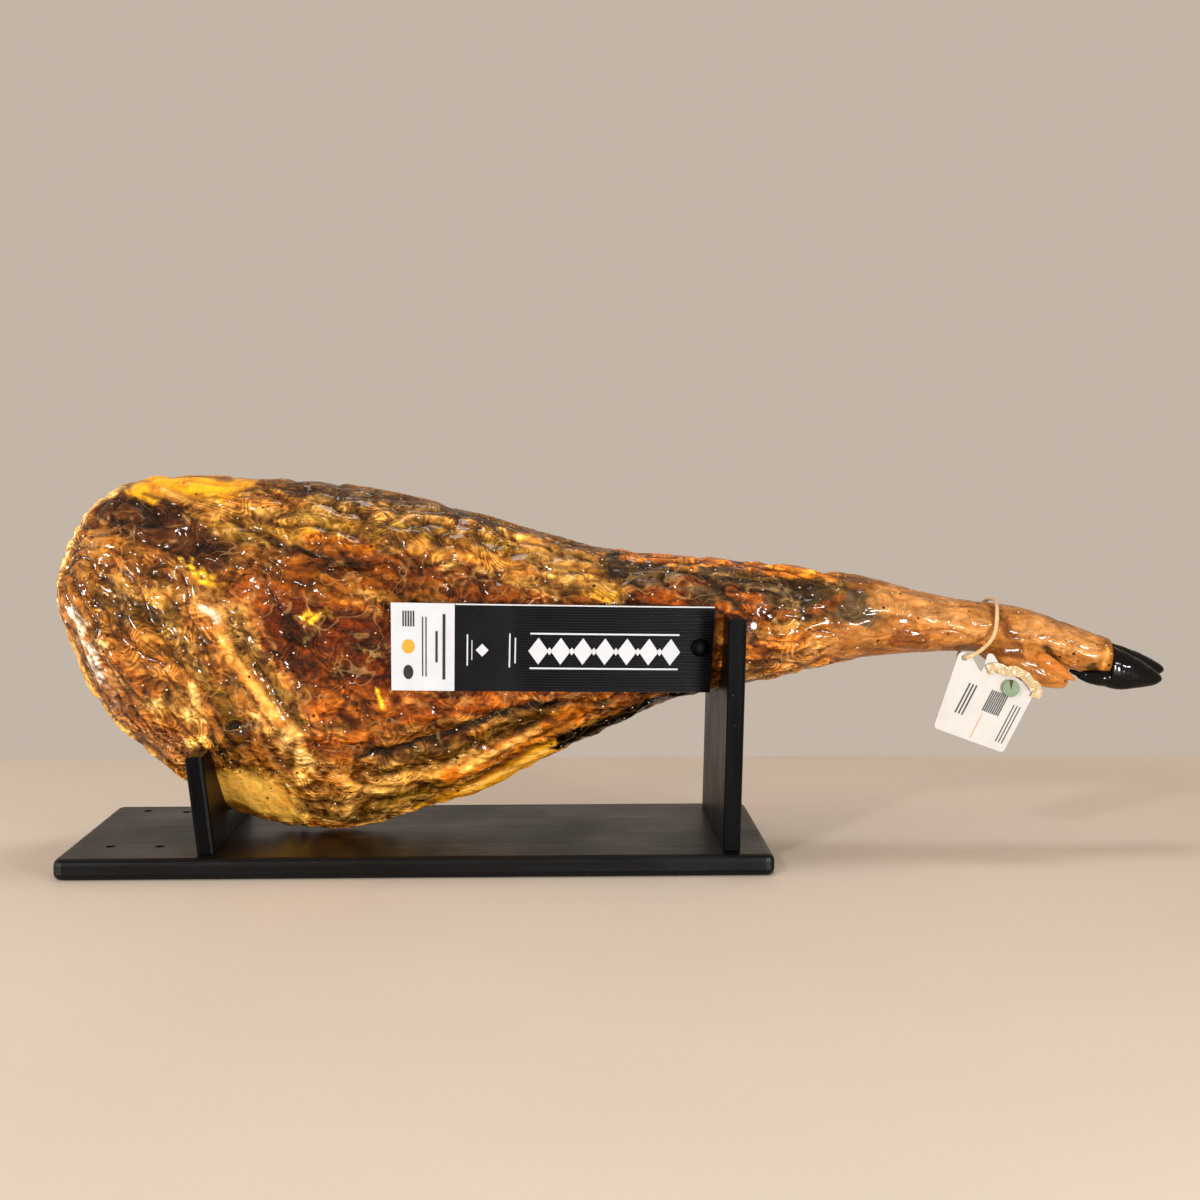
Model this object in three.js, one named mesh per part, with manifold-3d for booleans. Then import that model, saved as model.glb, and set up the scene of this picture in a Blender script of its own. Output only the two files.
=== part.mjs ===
// A whole cured ham resting in its black wooden stand, with its label card and its hang tag.
// Millimetres, +Z up. The origin is the middle of the base board's underside, +X runs along
// the leg to the hoof, and -Y is the near side, which carries the label.
import * as THREE from 'three';
import { mergeVertices } from 'three/addons/utils/BufferGeometryUtils.js';
import Module from 'manifold-3d';

const wasm = await Module();
wasm.setup();

// Clearance between pieces that touch
const GAP = 0.35;
// Corners of the meshes closer than this are one corner
const MERGE_DISTANCE = 1e-4;
// Edge of the blocks that cut pieces off at a plane
const BLOCK = 400;

// Stand
const BASE = { length: 500, depth: 190, height: 15, edge: 4.5, corner: 7 };
const SCREW_HOLE = { headRadius: 3.6, shankRadius: 1.8, headDepth: 2.4, depth: 10, sides: 12 };
const SCREW_PLACES = [[-219.5, -53], [-184.5, -54], [-222, 73.5], [-190.5, 68.5]];
// foot is the X of the face turned to the middle, lean its tilt in degrees, outwards
const BUTT_BOARD = { foot: -140.8, outwards: -1, thickness: 12.5, depth: 162, top: 84.6, lean: 6.4 };
const SHANK_BOARD = { foot: 214.5, outwards: 1, thickness: 12.4, depth: 164, top: 179, lean: 1.3 };
const BOARD_EDGE = 2.6;
const NOTCH_STEPS = 18;
const NOTCH_TURNS = 6;
// How far the boards' outlines start below the top of the base board, where they are cut off
const BOARD_SUNK = 6;
// The most of a side that a rounded corner takes
const CORNER_ROOM = 0.45;

// Ham: each station is the X of a cross-section, its top and bottom Z and its half depth in Y
const HAM_STATIONS = [
  [-265.5, 201, 201, 0],
  [-262, 218, 172, 23],
  [-251.5, 237, 139, 38],
  [-234, 260, 105, 51],
  [-207, 274.5, 77.5, 59.5],
  [-172, 278.6, 51, 64],
  [-130, 277.4, 26, 66.5],
  [-90, 274.5, 17.2, 68],
  [-50, 271, 17.4, 68],
  [-8, 263.5, 28, 65.5],
  [38, 251, 42.5, 61.5],
  [88, 237, 68, 56.5],
  [138, 224.6, 91.5, 50],
  [190, 219.8, 113.8, 43],
  [238, 215.2, 123.8, 37.5],
  [288, 209.2, 133.2, 33],
  [338, 200.6, 144.2, 28.5],
  [380, 190.2, 147.4, 25],
  [416, 184.4, 146.2, 23],
  [452, 178, 141.5, 22],
  [482, 168.2, 133, 20.5],
  [506, 158, 127.5, 18.6],
  [526, 147, 124.5, 14],
  [534, 136, 136, 0],
];
const SECTION_POWER = 2.25;
// Below its middle the section draws in by this share, more at the butt than at the shank
const BELLY = { butt: 0.42, shank: 0.12, from: 0, to: 200 };
const TOP_DRAW_IN = 0.08;
const HAM_ROWS = 87;
const HAM_SIDES = 44;
// Shares of the row spacing: close rows over the butt, wider ones over the shank
const ROW_SPACING = { butt: 1, shank: 1.5, from: 120, to: 300 };
const ROW_SAMPLES = 800;
const NEAR_SIDE_BIAS = 0.32;
const SEARCH_STEPS = 40;
// Step along the stations and round the section, for the surface normal
const SLOPE_STEP = 0.02;
// The leg ends in this plane, with the hoof beyond it
const CUT_PLANE = { x: 509.4, z: 140, lean: 6 };

// Relief of each side. Paths are in X and Z; heights are along the surface normal.
const NEAR_RIDGES = [
  // Cream ridge of fat round the lean face
  {
    path: [[-149, 186], [-135, 170], [-126, 147], [-114, 131], [-93, 100], [-81, 68]],
    height: 3.6,
    width: 6,
  },
  // Fat bulge over the long top crease
  { path: [[-84, 238], [-62, 229], [-36, 226]], height: 2.6, width: 9 },
  // Knuckle and tendon of the shank
  { path: [[318, 186], [346, 184]], height: 2.2, width: 11 },
  { path: [[356, 176], [392, 172], [430, 168]], height: 1.4, width: 7 },
];
const NEAR_GROOVES = [
  // Long groove under the lean, and the groove below it
  { path: [[-42, 77], [-5, 86], [34, 99], [79, 115]], height: -3.6, width: 6 },
  { path: [[-14, 55], [15, 69], [58, 90], [100, 108]], height: -2.4, width: 6 },
  // Crease of the top band, and the line that carries on along it
  { path: [[-83, 232], [-61, 219], [-40, 216], [-12, 221]], height: -3.6, width: 5.5 },
  { path: [[-12, 221], [30, 217], [86, 204], [111, 190]], height: -2, width: 6 },
  { path: [[-120, 257], [-13, 247], [79, 226], [122, 213]], height: -1.4, width: 6 },
  // Valley beside the hip, and the creases of the butt
  { path: [[-204, 268], [-179, 244], [-148, 221]], height: -4.6, width: 11 },
  { path: [[-194, 167], [-165, 140], [-149, 117]], height: -3, width: 7 },
  { path: [[-224, 125], [-189, 113], [-156, 103], [-128, 91]], height: -2.6, width: 6 },
  // Hollow above the heel tendon of the shank
  { path: [[342, 172], [362, 162], [396, 158]], height: -2, width: 7 },
];
const NEAR_HOLLOWS = [
  { x: -50, z: 148, reachX: 48, reachZ: 34, height: -4 },
  { x: -129, z: 102, reachX: 7, reachZ: 6, height: -4 },
  { x: -228, z: 168, reachX: 26, reachZ: 30, height: -2 },
  { x: -172, z: 246, reachX: 26, reachZ: 10, height: 2.4 },
];
// The meat ends in a ragged step over the smooth fat under the belly
const FAT_STEP = { path: [[-157, 70], [-131, 73], [-103, 68], [-94, 42]], drop: 2.6, fade: 34, run: 3.5 };
const FAR_FOLDS = [
  // Long folds of the rind, and the edge where it was trimmed off the thigh
  { path: [[-236, 196], [-190, 226], [-120, 238], [-40, 226]], height: -2.6, width: 9 },
  { path: [[-226, 132], [-170, 108], [-110, 84], [-60, 62]], height: -2.4, width: 9 },
  { path: [[-30, 196], [50, 186], [120, 172], [196, 160]], height: -1.8, width: 8 },
  { path: [[128, 214], [150, 180], [142, 140], [160, 112]], height: 2, width: 7 },
];
// Two sets of waves that cross each other, the second one weaker by crossShare
const FIBRES = {
  near: 0.7, far: 0.4, lengthX: 38, lengthZ: 9, crossX: 21, crossZ: 12.5, turn: 1.3, crossShare: 0.8,
};
// Relief rises from nothing over these shares of a path's length at both of its ends
const PATH_TAPER = { from: -0.08, to: 0.18 };
// Relief of a side fades in over this range of Y, to each side of the middle
const SIDE_FADE = { from: 2, to: -16 };
// Relief fades out at the round end of the butt, and over this length before the cut plane
const END_FADE = { from: -272, to: -258, beforeCut: 16 };
// Relief fades out beside the middle of a board, up to a height above its top
const BOARD_FADE = { from: 12, to: 30, above: 4, wellAbove: 20 };

// Foot: two bags of skin that carry the dew claws, the dew claws, and the split hoof
const SKIN_BAGS = [
  { from: [400, -7, 160], to: [476, -12.5, 124.5], wide: 9.5, high: 11 },
  { from: [400, 7, 158], to: [472, 9, 121.5], wide: 8.5, high: 9.5 },
];
const DEWCLAW_NEAR = { from: [452, -13.5, 145], to: [482.6, -17, 126.3], wide: 6.2, high: 6.4 };
const DEWCLAW_FAR = { from: [449, 10, 139], to: [478, 12, 119], wide: 5.6, high: 5.8 };
const BAG_MESH = { rings: 14, sides: 16 };
// A bag is fullest a little beyond its middle
const BAG_LEAN = 1.15;
const DEWCLAW_MESH = { rings: 10, sides: 12 };
// A dew claw is round up to its widest place, then tapers to a blunt tip
const HORN = { widest: 0.25, taper: 1.5, bluntness: 0.8 };
// Claw stations as the ham's: X, top, bottom, half width
const CLAW_STATIONS = [
  [494, 141, 130, 0],
  [500, 152, 122.5, 8.8],
  [508, 153, 120.2, 9.7],
  [516, 149.8, 118.7, 10],
  [530, 142.8, 119.6, 9.4],
  [541, 135.8, 121.4, 6.8],
  [547, 131, 123.8, 3.8],
  [549.5, 127, 127, 0],
];
const CLAW_NEAR = { y: -10.5, reach: 0, rise: 0 };
const CLAW_FAR = { y: 10.5, reach: 9, rise: 4.6 };
const CLAW_MESH = { rings: 15, sides: 16 };
// The heel bulb starts nearer to the middle than the claw, by drawIn, and rises by a share with it
const HEEL = { from: [484.5, 129.5], to: [524, 127], high: 7.4, wide: 8.6, drawIn: 0.9, rise: 1 / 3 };
const HEEL_MESH = { rings: 10, sides: 14 };

// Label card: plan points of its front face, and its edges' heights at the left and right end
const LABEL_PLAN = [[-17.5, -73.2], [40, -67.2], [100, -60.2], [150, -53.6], [188, -47.8], [212, -43.6]];
const LABEL = {
  thickness: 1.8, topLeft: 190.3, topRight: 184.3, bottomLeft: 128.8, bottomRight: 122.4, endSlant: 3.6,
};
const LABEL_STEPS = 26;
const PLAN_SAMPLES = 400;
const STUD = { x: 200.2, z: 155, radius: 6.4, height: 3, dome: 0.6, rings: 6, sides: 20 };

// Hang tag, its loop and its seal
const LOOP_PATH = [
  [422.6, -3, 186.4], [422.8, -15, 183.4], [420.8, -24.6, 175], [418.6, -28.4, 164], [413.8, -32, 157],
  [406, -37.6, 151.6], [399.6, -40.8, 148.8], [395.8, -39.6, 147], [394.6, -36, 146.2], [394.3, -31, 145.6],
  [394.8, -23, 144.4], [396.6, -10, 143], [400, 5, 143.2], [405, 19, 147.4], [410, 26.4, 158],
  [415.4, 26.6, 170.6], [420.6, 15, 182.4],
];
const LOOP = { radius: 1.5, steps: 52, sides: 8 };
const TAG_OUTLINE = [
  [390.6, 150.6], [398.2, 149.4], [406.8, 134.6], [411.6, 149.2], [415.2, 149], [421.8, 138.2],
  [447, 122], [423.8, 76.2], [372.4, 95],
];
const TAG = {
  front: -36.7, thickness: 1.3, corner: 3.4, eye: [394.5, 146.2], eyeRadius: 2.5, eyeSides: 16,
};
// The slot of the seal reaches below its middle by slotFoot of the radius
const SEAL = {
  x: 428, z: 124, front: -40.4, radius: 6.4, thickness: 2.2, edge: 0.4, rimSteps: 14, slot: 3.2,
  slotFoot: 0.1,
};
const STRAP_PATH = [
  [411, -38.6, 137.2], [417, -39.6, 139.6], [424, -39.2, 136.6], [431, -40.2, 136.4], [438, -39, 133.2],
  [443, -40, 127.4], [447.4, -39.2, 122.6], [446, -38.6, 117],
];
const STRAP = {
  width: 8.4, thickness: 1.1, steps: 24, crumple: 0.22, longWaves: 9, shortWaves: 23, turn: 0.6,
};

const MATERIALS = {
  boards: { color: 0x17181a, roughness: 0.42, metalness: 0 },
  ham: { color: 0x96551f, roughness: 0.34, metalness: 0 },
  hoof: { color: 0x141414, roughness: 0.25, metalness: 0 },
  dewclaw: { color: 0xa5601f, roughness: 0.3, metalness: 0 },
  label: { color: 0x1d1e21, roughness: 0.45, metalness: 0 },
  stud: { color: 0x0c0c0d, roughness: 0.5, metalness: 0 },
  loop: { color: 0xe6cf9e, roughness: 0.5, metalness: 0 },
  tag: { color: 0xeeeae2, roughness: 0.6, metalness: 0 },
  seal: { color: 0xa9d0b2, roughness: 0.5, metalness: 0 },
  strap: { color: 0xeadcc0, roughness: 0.35, metalness: 0 },
};

// Numbers

function clamp01(value) {
  return Math.min(Math.max(value, 0), 1);
}

function smoothStep(from, to, value) {
  const t = clamp01((value - from) / (to - from));
  return t * t * (3 - 2 * t);
}

function blend(low, high, share) {
  return low + (high - low) * share;
}

function signedPower(value, power) {
  return Math.sign(value) * Math.abs(value) ** power;
}

function radians(degrees) {
  return (degrees * Math.PI) / 180;
}

function catmullRom(p0, p1, p2, p3, t) {
  const a = 2 * p1;
  const b = (p2 - p0) * t;
  const c = (2 * p0 - 5 * p1 + 4 * p2 - p3) * t * t;
  const d = (3 * p1 - p0 - 3 * p2 + p3) * t * t * t;
  return (a + b + c + d) / 2;
}

// Solids

function toManifold(geometry) {
  const bare = geometry.clone();
  bare.deleteAttribute('normal');
  bare.deleteAttribute('uv');
  const merged = mergeVertices(bare, MERGE_DISTANCE);
  return new wasm.Manifold(new wasm.Mesh({
    numProp: 3,
    vertProperties: new Float32Array(merged.attributes.position.array),
    triVerts: new Uint32Array(merged.index.array),
  }));
}

function toGeometry(solid) {
  const mesh = solid.getMesh();
  const geometry = new THREE.BufferGeometry();
  geometry.setAttribute('position', new THREE.BufferAttribute(mesh.vertProperties, 3));
  geometry.setIndex(new THREE.BufferAttribute(mesh.triVerts, 1));
  geometry.computeVertexNormals();
  return geometry;
}

// A closed skin over rows of points that run from a first end point to a last one
function skinOver(rows, firstEnd, lastEnd) {
  const sides = rows[0].length;
  const points = [firstEnd, ...rows.flat(), lastEnd];
  const faces = [];
  const at = (row, side) => 1 + row * sides + (side % sides);
  for (let side = 0; side < sides; side += 1) {
    faces.push(0, at(0, side + 1), at(0, side));
    for (let row = 0; row < rows.length - 1; row += 1) {
      faces.push(at(row, side), at(row + 1, side + 1), at(row + 1, side));
      faces.push(at(row, side), at(row, side + 1), at(row + 1, side + 1));
    }
    faces.push(points.length - 1, at(rows.length - 1, side), at(rows.length - 1, side + 1));
  }
  const geometry = new THREE.BufferGeometry();
  geometry.setAttribute('position', new THREE.Float32BufferAttribute(points.flat(), 3));
  geometry.setIndex(faces);
  return geometry;
}

// A long closed form: ovals swept in a straight line, their size given along the way by fullness
function pod({ from, to, wide, high }, fullness, { rings, sides }) {
  const start = new THREE.Vector3(...from);
  const end = new THREE.Vector3(...to);
  const along = end.clone().sub(start).normalize();
  const across = new THREE.Vector3(0, -1, 0).projectOnPlane(along).normalize();
  const over = new THREE.Vector3().crossVectors(across, along);
  const rows = [];
  for (let ring = 1; ring < rings; ring += 1) {
    const share = (1 - Math.cos((Math.PI * ring) / rings)) / 2;
    const centre = start.clone().lerp(end, share);
    const size = fullness(share);
    const row = [];
    for (let side = 0; side < sides; side += 1) {
      const angle = (2 * Math.PI * side) / sides;
      const point = centre.clone()
        .addScaledVector(across, wide * size * Math.sin(angle))
        .addScaledVector(over, high * size * Math.cos(angle));
      row.push(point.toArray());
    }
    rows.push(row);
  }
  return skinOver(rows, from, to);
}

function roundedOutline(points, radius) {
  const shape = new THREE.Shape();
  const corners = points.map(([x, y]) => new THREE.Vector2(x, y));
  corners.forEach((corner, index) => {
    const before = corners[(index + corners.length - 1) % corners.length];
    const after = corners[(index + 1) % corners.length];
    const room = Math.min(corner.distanceTo(before), corner.distanceTo(after)) * CORNER_ROOM;
    const cut = Math.min(radius, room);
    const enter = corner.clone().lerp(before, cut / corner.distanceTo(before));
    const leave = corner.clone().lerp(after, cut / corner.distanceTo(after));
    if (index === 0) {
      shape.moveTo(enter.x, enter.y);
    } else {
      shape.lineTo(enter.x, enter.y);
    }
    shape.quadraticCurveTo(corner.x, corner.y, leave.x, leave.y);
  });
  shape.closePath();
  return shape;
}

// A large block whose near face is the plane through (x, 0, z), leaning by the given degrees
function blockBeyond({ x, z, lean }, shift) {
  const block = new THREE.BoxGeometry(BLOCK, BLOCK, BLOCK);
  block.translate(BLOCK / 2, 0, 0);
  block.rotateY(radians(lean));
  block.translate(x + shift, 0, z);
  return block;
}

// Ham

function stationValues(stations, index) {
  const last = stations.length - 1;
  const mirrored = index < 0 || index > last;
  const inside = index < 0 ? -index : index > last ? 2 * last - index : index;
  const [x, top, bottom, half] = stations[inside];
  const sign = mirrored ? -1 : 1;
  return { x, centre: (top + bottom) / 2, rise: (sign * (top - bottom)) / 2, half: sign * half };
}

// The section between stations, by a curve through four of them; ends are mirrored, so they close round
function sectionAt(stations, t) {
  const index = Math.min(Math.floor(t), stations.length - 2);
  const around = [-1, 0, 1, 2].map((step) => stationValues(stations, index + step));
  const section = {};
  for (const key of ['x', 'centre', 'rise', 'half']) {
    section[key] = catmullRom(...around.map((station) => station[key]), t - index);
  }
  return section;
}

function sectionAtX(stations, x) {
  let low = 0;
  let high = stations.length - 1;
  for (let step = 0; step < SEARCH_STEPS; step += 1) {
    const middle = (low + high) / 2;
    if (sectionAt(stations, middle).x < x) {
      low = middle;
    } else {
      high = middle;
    }
  }
  return sectionAt(stations, low);
}

function sectionPoint(section, angle, swell = 0) {
  const up = signedPower(Math.cos(angle), 2 / SECTION_POWER);
  const side = signedPower(Math.sin(angle), 2 / SECTION_POWER);
  const belly = blend(BELLY.butt, BELLY.shank, smoothStep(BELLY.from, BELLY.to, section.x));
  const drawIn = up < 0 ? belly : TOP_DRAW_IN;
  const y = -(section.half * (1 - drawIn * up * up) + swell) * side;
  return [section.x, y, section.centre + (section.rise + swell) * up];
}

function distanceToPath(path, x, z) {
  let nearest = { distance: Infinity, side: 1, reach: 1 };
  path.slice(1).forEach(([x1, z1], index) => {
    const [x0, z0] = path[index];
    const lengthSquared = (x1 - x0) ** 2 + (z1 - z0) ** 2;
    const share = clamp01(((x - x0) * (x1 - x0) + (z - z0) * (z1 - z0)) / lengthSquared);
    const distance = Math.hypot(x - blend(x0, x1, share), z - blend(z0, z1, share));
    if (distance < nearest.distance) {
      const cross = (x1 - x0) * (z - z0) - (z1 - z0) * (x - x0);
      nearest = { distance, side: Math.sign(cross), reach: (index + share) / (path.length - 1) };
    }
  });
  return nearest;
}

function pathRelief({ path, height, width }, x, z) {
  const { distance, reach } = distanceToPath(path, x, z);
  const taper = smoothStep(PATH_TAPER.from, PATH_TAPER.to, reach)
    * smoothStep(PATH_TAPER.from, PATH_TAPER.to, 1 - reach);
  return height * Math.exp(-((distance / width) ** 2)) * taper;
}

function hollowRelief({ x: x0, z: z0, reachX, reachZ, height }, x, z) {
  return height * Math.exp(-(((x - x0) / reachX) ** 2) - ((z - z0) / reachZ) ** 2);
}

function fatStepRelief(x, z) {
  const { distance, side } = distanceToPath(FAT_STEP.path, x, z);
  const below = side < 0 ? distance : 0;
  return -FAT_STEP.drop * smoothStep(0, FAT_STEP.run, below) * smoothStep(FAT_STEP.fade, 0, below);
}

function fibreRelief(x, z) {
  const long = Math.sin(x / FIBRES.lengthX + z / FIBRES.lengthZ);
  const cross = Math.sin(x / FIBRES.crossX - z / FIBRES.crossZ + FIBRES.turn);
  return long + FIBRES.crossShare * cross;
}

// Zero where the surface lies in a board's notch, so that it fits there
function clearOfBoards(x, z) {
  return [BUTT_BOARD, SHANK_BOARD].reduce((share, board) => {
    const middle = board.foot + board.outwards * board.thickness;
    const beside = smoothStep(BOARD_FADE.from, BOARD_FADE.to, Math.abs(x - middle));
    const over = smoothStep(BOARD_FADE.above, BOARD_FADE.wellAbove, z - board.top);
    return share * Math.max(beside, over);
  }, 1);
}

function nearRelief(x, z) {
  const paths = [...NEAR_RIDGES, ...NEAR_GROOVES].map((feature) => pathRelief(feature, x, z));
  const hollows = NEAR_HOLLOWS.map((hollow) => hollowRelief(hollow, x, z));
  return [...paths, ...hollows].reduce((sum, height) => sum + height, fatStepRelief(x, z));
}

function farRelief(x, z) {
  return FAR_FOLDS.reduce((sum, fold) => sum + pathRelief(fold, x, z), 0);
}

function reliefAt([x, y, z]) {
  const nearShare = smoothStep(SIDE_FADE.from, SIDE_FADE.to, y);
  const farShare = smoothStep(SIDE_FADE.from, SIDE_FADE.to, -y);
  const fibres = fibreRelief(x, z) * blend(FIBRES.far, FIBRES.near, nearShare);
  const total = fibres + nearShare * nearRelief(x, z) + farShare * farRelief(x, z);
  const butt = smoothStep(END_FADE.from, END_FADE.to, x);
  const shank = smoothStep(0, END_FADE.beforeCut, CUT_PLANE.x - x);
  return total * clearOfBoards(x, z) * butt * shank;
}

function hamPoint(t, angle) {
  const last = HAM_STATIONS.length - 1;
  const section = sectionAt(HAM_STATIONS, clamp01(t / last) * last);
  return new THREE.Vector3(...sectionPoint(section, angle));
}

function hamSurface(t, angle) {
  const alongT = hamPoint(t + SLOPE_STEP, angle).sub(hamPoint(t - SLOPE_STEP, angle));
  const alongAngle = hamPoint(t, angle + SLOPE_STEP).sub(hamPoint(t, angle - SLOPE_STEP));
  const normal = new THREE.Vector3().crossVectors(alongAngle, alongT).normalize();
  const base = hamPoint(t, angle);
  base.addScaledVector(normal, -reliefAt(base.toArray()));
  base.z = Math.max(base.z, BASE.height + 2 * GAP);
  return base.toArray();
}

// Station parameters of the rows, evenly spread by the length of the top line and the wanted spacing
function hamRows() {
  const last = HAM_STATIONS.length - 1;
  const lengths = [0];
  for (let index = 1; index <= ROW_SAMPLES; index += 1) {
    const here = sectionAt(HAM_STATIONS, (index / ROW_SAMPLES) * last);
    const before = sectionAt(HAM_STATIONS, ((index - 1) / ROW_SAMPLES) * last);
    const length = Math.hypot(here.x - before.x, (here.rise - before.rise) / 2);
    const along = smoothStep(ROW_SPACING.from, ROW_SPACING.to, here.x);
    const spacing = blend(ROW_SPACING.butt, ROW_SPACING.shank, along);
    lengths.push(lengths[index - 1] + length / spacing);
  }
  const rows = [];
  let index = 0;
  for (let row = 1; row < HAM_ROWS; row += 1) {
    const wanted = (lengths[ROW_SAMPLES] * row) / HAM_ROWS;
    while (lengths[index + 1] < wanted) {
      index += 1;
    }
    const share = (wanted - lengths[index]) / (lengths[index + 1] - lengths[index]);
    rows.push(((index + share) / ROW_SAMPLES) * last);
  }
  return rows;
}

function hamBody() {
  const rows = hamRows().map((t) => {
    const row = [];
    for (let side = 0; side < HAM_SIDES; side += 1) {
      const even = (2 * Math.PI * side) / HAM_SIDES;
      row.push(hamSurface(t, even + NEAR_SIDE_BIAS * Math.cos(even)));
    }
    return row;
  });
  const [firstX, firstZ] = HAM_STATIONS[0];
  const [lastX, lastZ] = HAM_STATIONS[HAM_STATIONS.length - 1];
  return toManifold(skinOver(rows, [firstX, 0, firstZ], [lastX, 0, lastZ]));
}

function bagFullness(share) {
  return Math.sqrt(Math.sin(Math.PI * share ** BAG_LEAN));
}

function hornFullness(share) {
  const { widest, taper, bluntness } = HORN;
  if (share < widest) {
    return Math.sqrt(1 - (1 - share / widest) ** 2);
  }
  return (1 - ((share - widest) / (1 - widest)) ** taper) ** bluntness;
}

function grown(form, by) {
  return { ...form, wide: form.wide + by, high: form.high + by };
}

function dewclaw(form, growth = 0) {
  return toManifold(pod(grown(form, growth), hornFullness, DEWCLAW_MESH));
}

function claw({ y, reach, rise }, growth = 0) {
  const last = CLAW_STATIONS.length - 1;
  const first = CLAW_STATIONS[0][0];
  const span = CLAW_STATIONS[last][0] - first;
  const rows = [];
  const { rings, sides } = CLAW_MESH;
  const place = ([x, across, z]) => {
    const share = (x - first) / span;
    return [x + reach * share, y + across, z + rise * share];
  };
  for (let ring = 1; ring < rings; ring += 1) {
    const section = sectionAt(CLAW_STATIONS, (ring / rings) * last);
    const row = [];
    for (let side = 0; side < sides; side += 1) {
      row.push(place(sectionPoint(section, (2 * Math.PI * side) / sides, growth)));
    }
    rows.push(row);
  }
  const ends = [CLAW_STATIONS[0], CLAW_STATIONS[last]].map(([x, z]) => place([x, 0, z]));
  const solid = toManifold(skinOver(rows, ends[0], ends[1]));
  return solid.intersect(toManifold(blockBeyond(CUT_PLANE, GAP)));
}

function heel({ y, rise }, growth = 0) {
  const form = {
    from: [HEEL.from[0] - growth, y * HEEL.drawIn, HEEL.from[1] + rise * HEEL.rise],
    to: [HEEL.to[0] + growth, y, HEEL.to[1] + rise * HEEL.rise],
    wide: HEEL.wide + growth,
    high: HEEL.high + growth,
  };
  return toManifold(pod(form, bagFullness, HEEL_MESH));
}

function hoof(place) {
  return claw(place).add(heel(place));
}

function ham() {
  let solid = hamBody();
  for (const bag of SKIN_BAGS) {
    solid = solid.add(toManifold(pod(bag, bagFullness, BAG_MESH)));
  }
  solid = solid.subtract(toManifold(blockBeyond(CUT_PLANE, 0)));
  for (const place of [CLAW_NEAR, CLAW_FAR]) {
    solid = solid.subtract(heel(place, GAP));
  }
  for (const horn of [DEWCLAW_NEAR, DEWCLAW_FAR]) {
    solid = solid.subtract(dewclaw(horn, GAP));
  }
  return solid;
}

// Stand

function screwHole([x, y]) {
  const { headRadius, shankRadius, headDepth, depth, sides } = SCREW_HOLE;
  const above = 2;
  const profile = [
    new THREE.Vector2(0, -depth),
    new THREE.Vector2(shankRadius, -depth),
    new THREE.Vector2(shankRadius, -headDepth),
    new THREE.Vector2(headRadius, 0),
    new THREE.Vector2(headRadius, above),
    new THREE.Vector2(0, above),
  ];
  const hole = new THREE.LatheGeometry(profile, sides);
  hole.rotateX(Math.PI / 2);
  hole.translate(x, y, BASE.height);
  return toManifold(hole);
}

function baseBoard() {
  const { length, depth, height, edge, corner } = BASE;
  const x = length / 2 - edge;
  const y = depth / 2 - edge;
  const outline = roundedOutline([[-x, -y], [x, -y], [x, y], [-x, y]], corner - edge);
  const board = new THREE.ExtrudeGeometry(outline, {
    depth: height - 2 * edge, bevelThickness: edge, bevelSize: edge, bevelSegments: 3, curveSegments: 3,
  });
  board.translate(0, 0, edge);
  return SCREW_PLACES.reduce((solid, place) => solid.subtract(screwHole(place)), toManifold(board));
}

// X of the board's inner face at height z
function innerFaceX({ foot, outwards, lean }, z) {
  return foot + outwards * Math.tan(radians(lean)) * (z - BASE.height);
}

// Half of the notch, from its lowest point out to the prong: the ham's own section at the inner face
function notchHalf(board) {
  const points = [];
  for (let step = 0; step <= NOTCH_STEPS; step += 1) {
    const angle = Math.PI - (Math.PI / 2) * (step / NOTCH_STEPS);
    let point = [board.foot, 0, BASE.height];
    for (let turn = 0; turn < NOTCH_TURNS; turn += 1) {
      const section = sectionAtX(HAM_STATIONS, innerFaceX(board, point[2]));
      point = sectionPoint(section, angle, 2 * GAP);
    }
    const [, y, z] = point;
    if (z > board.top) {
      const [beforeY, beforeZ] = points[points.length - 1];
      points.push([blend(beforeY, -y, (board.top - beforeZ) / (z - beforeZ)), board.top]);
      return points;
    }
    points.push([Math.abs(y), z]);
  }
  points.push([points[points.length - 1][0], board.top]);
  return points;
}

function notchedBoard(board) {
  const half = board.depth / 2;
  const notch = notchHalf(board);
  const outline = new THREE.Shape();
  outline.moveTo(-half, BASE.height - BOARD_SUNK);
  outline.lineTo(half, BASE.height - BOARD_SUNK);
  outline.lineTo(half, board.top);
  [...notch].reverse().forEach(([y, z]) => outline.lineTo(y, z));
  notch.slice(1).forEach(([y, z]) => outline.lineTo(-y, z));
  outline.lineTo(-half, board.top);
  outline.closePath();
  const plate = new THREE.ExtrudeGeometry(outline, {
    depth: board.thickness - 2 * BOARD_EDGE,
    bevelThickness: BOARD_EDGE,
    bevelSize: BOARD_EDGE,
    bevelOffset: -BOARD_EDGE,
    bevelSegments: 2,
  });
  // The outline's X is the board's Y, its Y the board's Z, and its depth runs along X
  plate.applyMatrix4(new THREE.Matrix4().makeBasis(
    new THREE.Vector3(0, 1, 0), new THREE.Vector3(0, 0, 1), new THREE.Vector3(1, 0, 0),
  ));
  const innerEdge = board.outwards > 0 ? BOARD_EDGE : BOARD_EDGE - board.thickness;
  plate.translate(innerEdge, 0, -BASE.height);
  plate.rotateY(radians(board.outwards * board.lean));
  plate.translate(board.foot, 0, BASE.height);
  const floor = new THREE.BoxGeometry(BLOCK, BLOCK, BLOCK);
  floor.translate(board.foot, 0, BASE.height + GAP - BLOCK / 2);
  return toManifold(plate).subtract(toManifold(floor));
}

// Label

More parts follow.
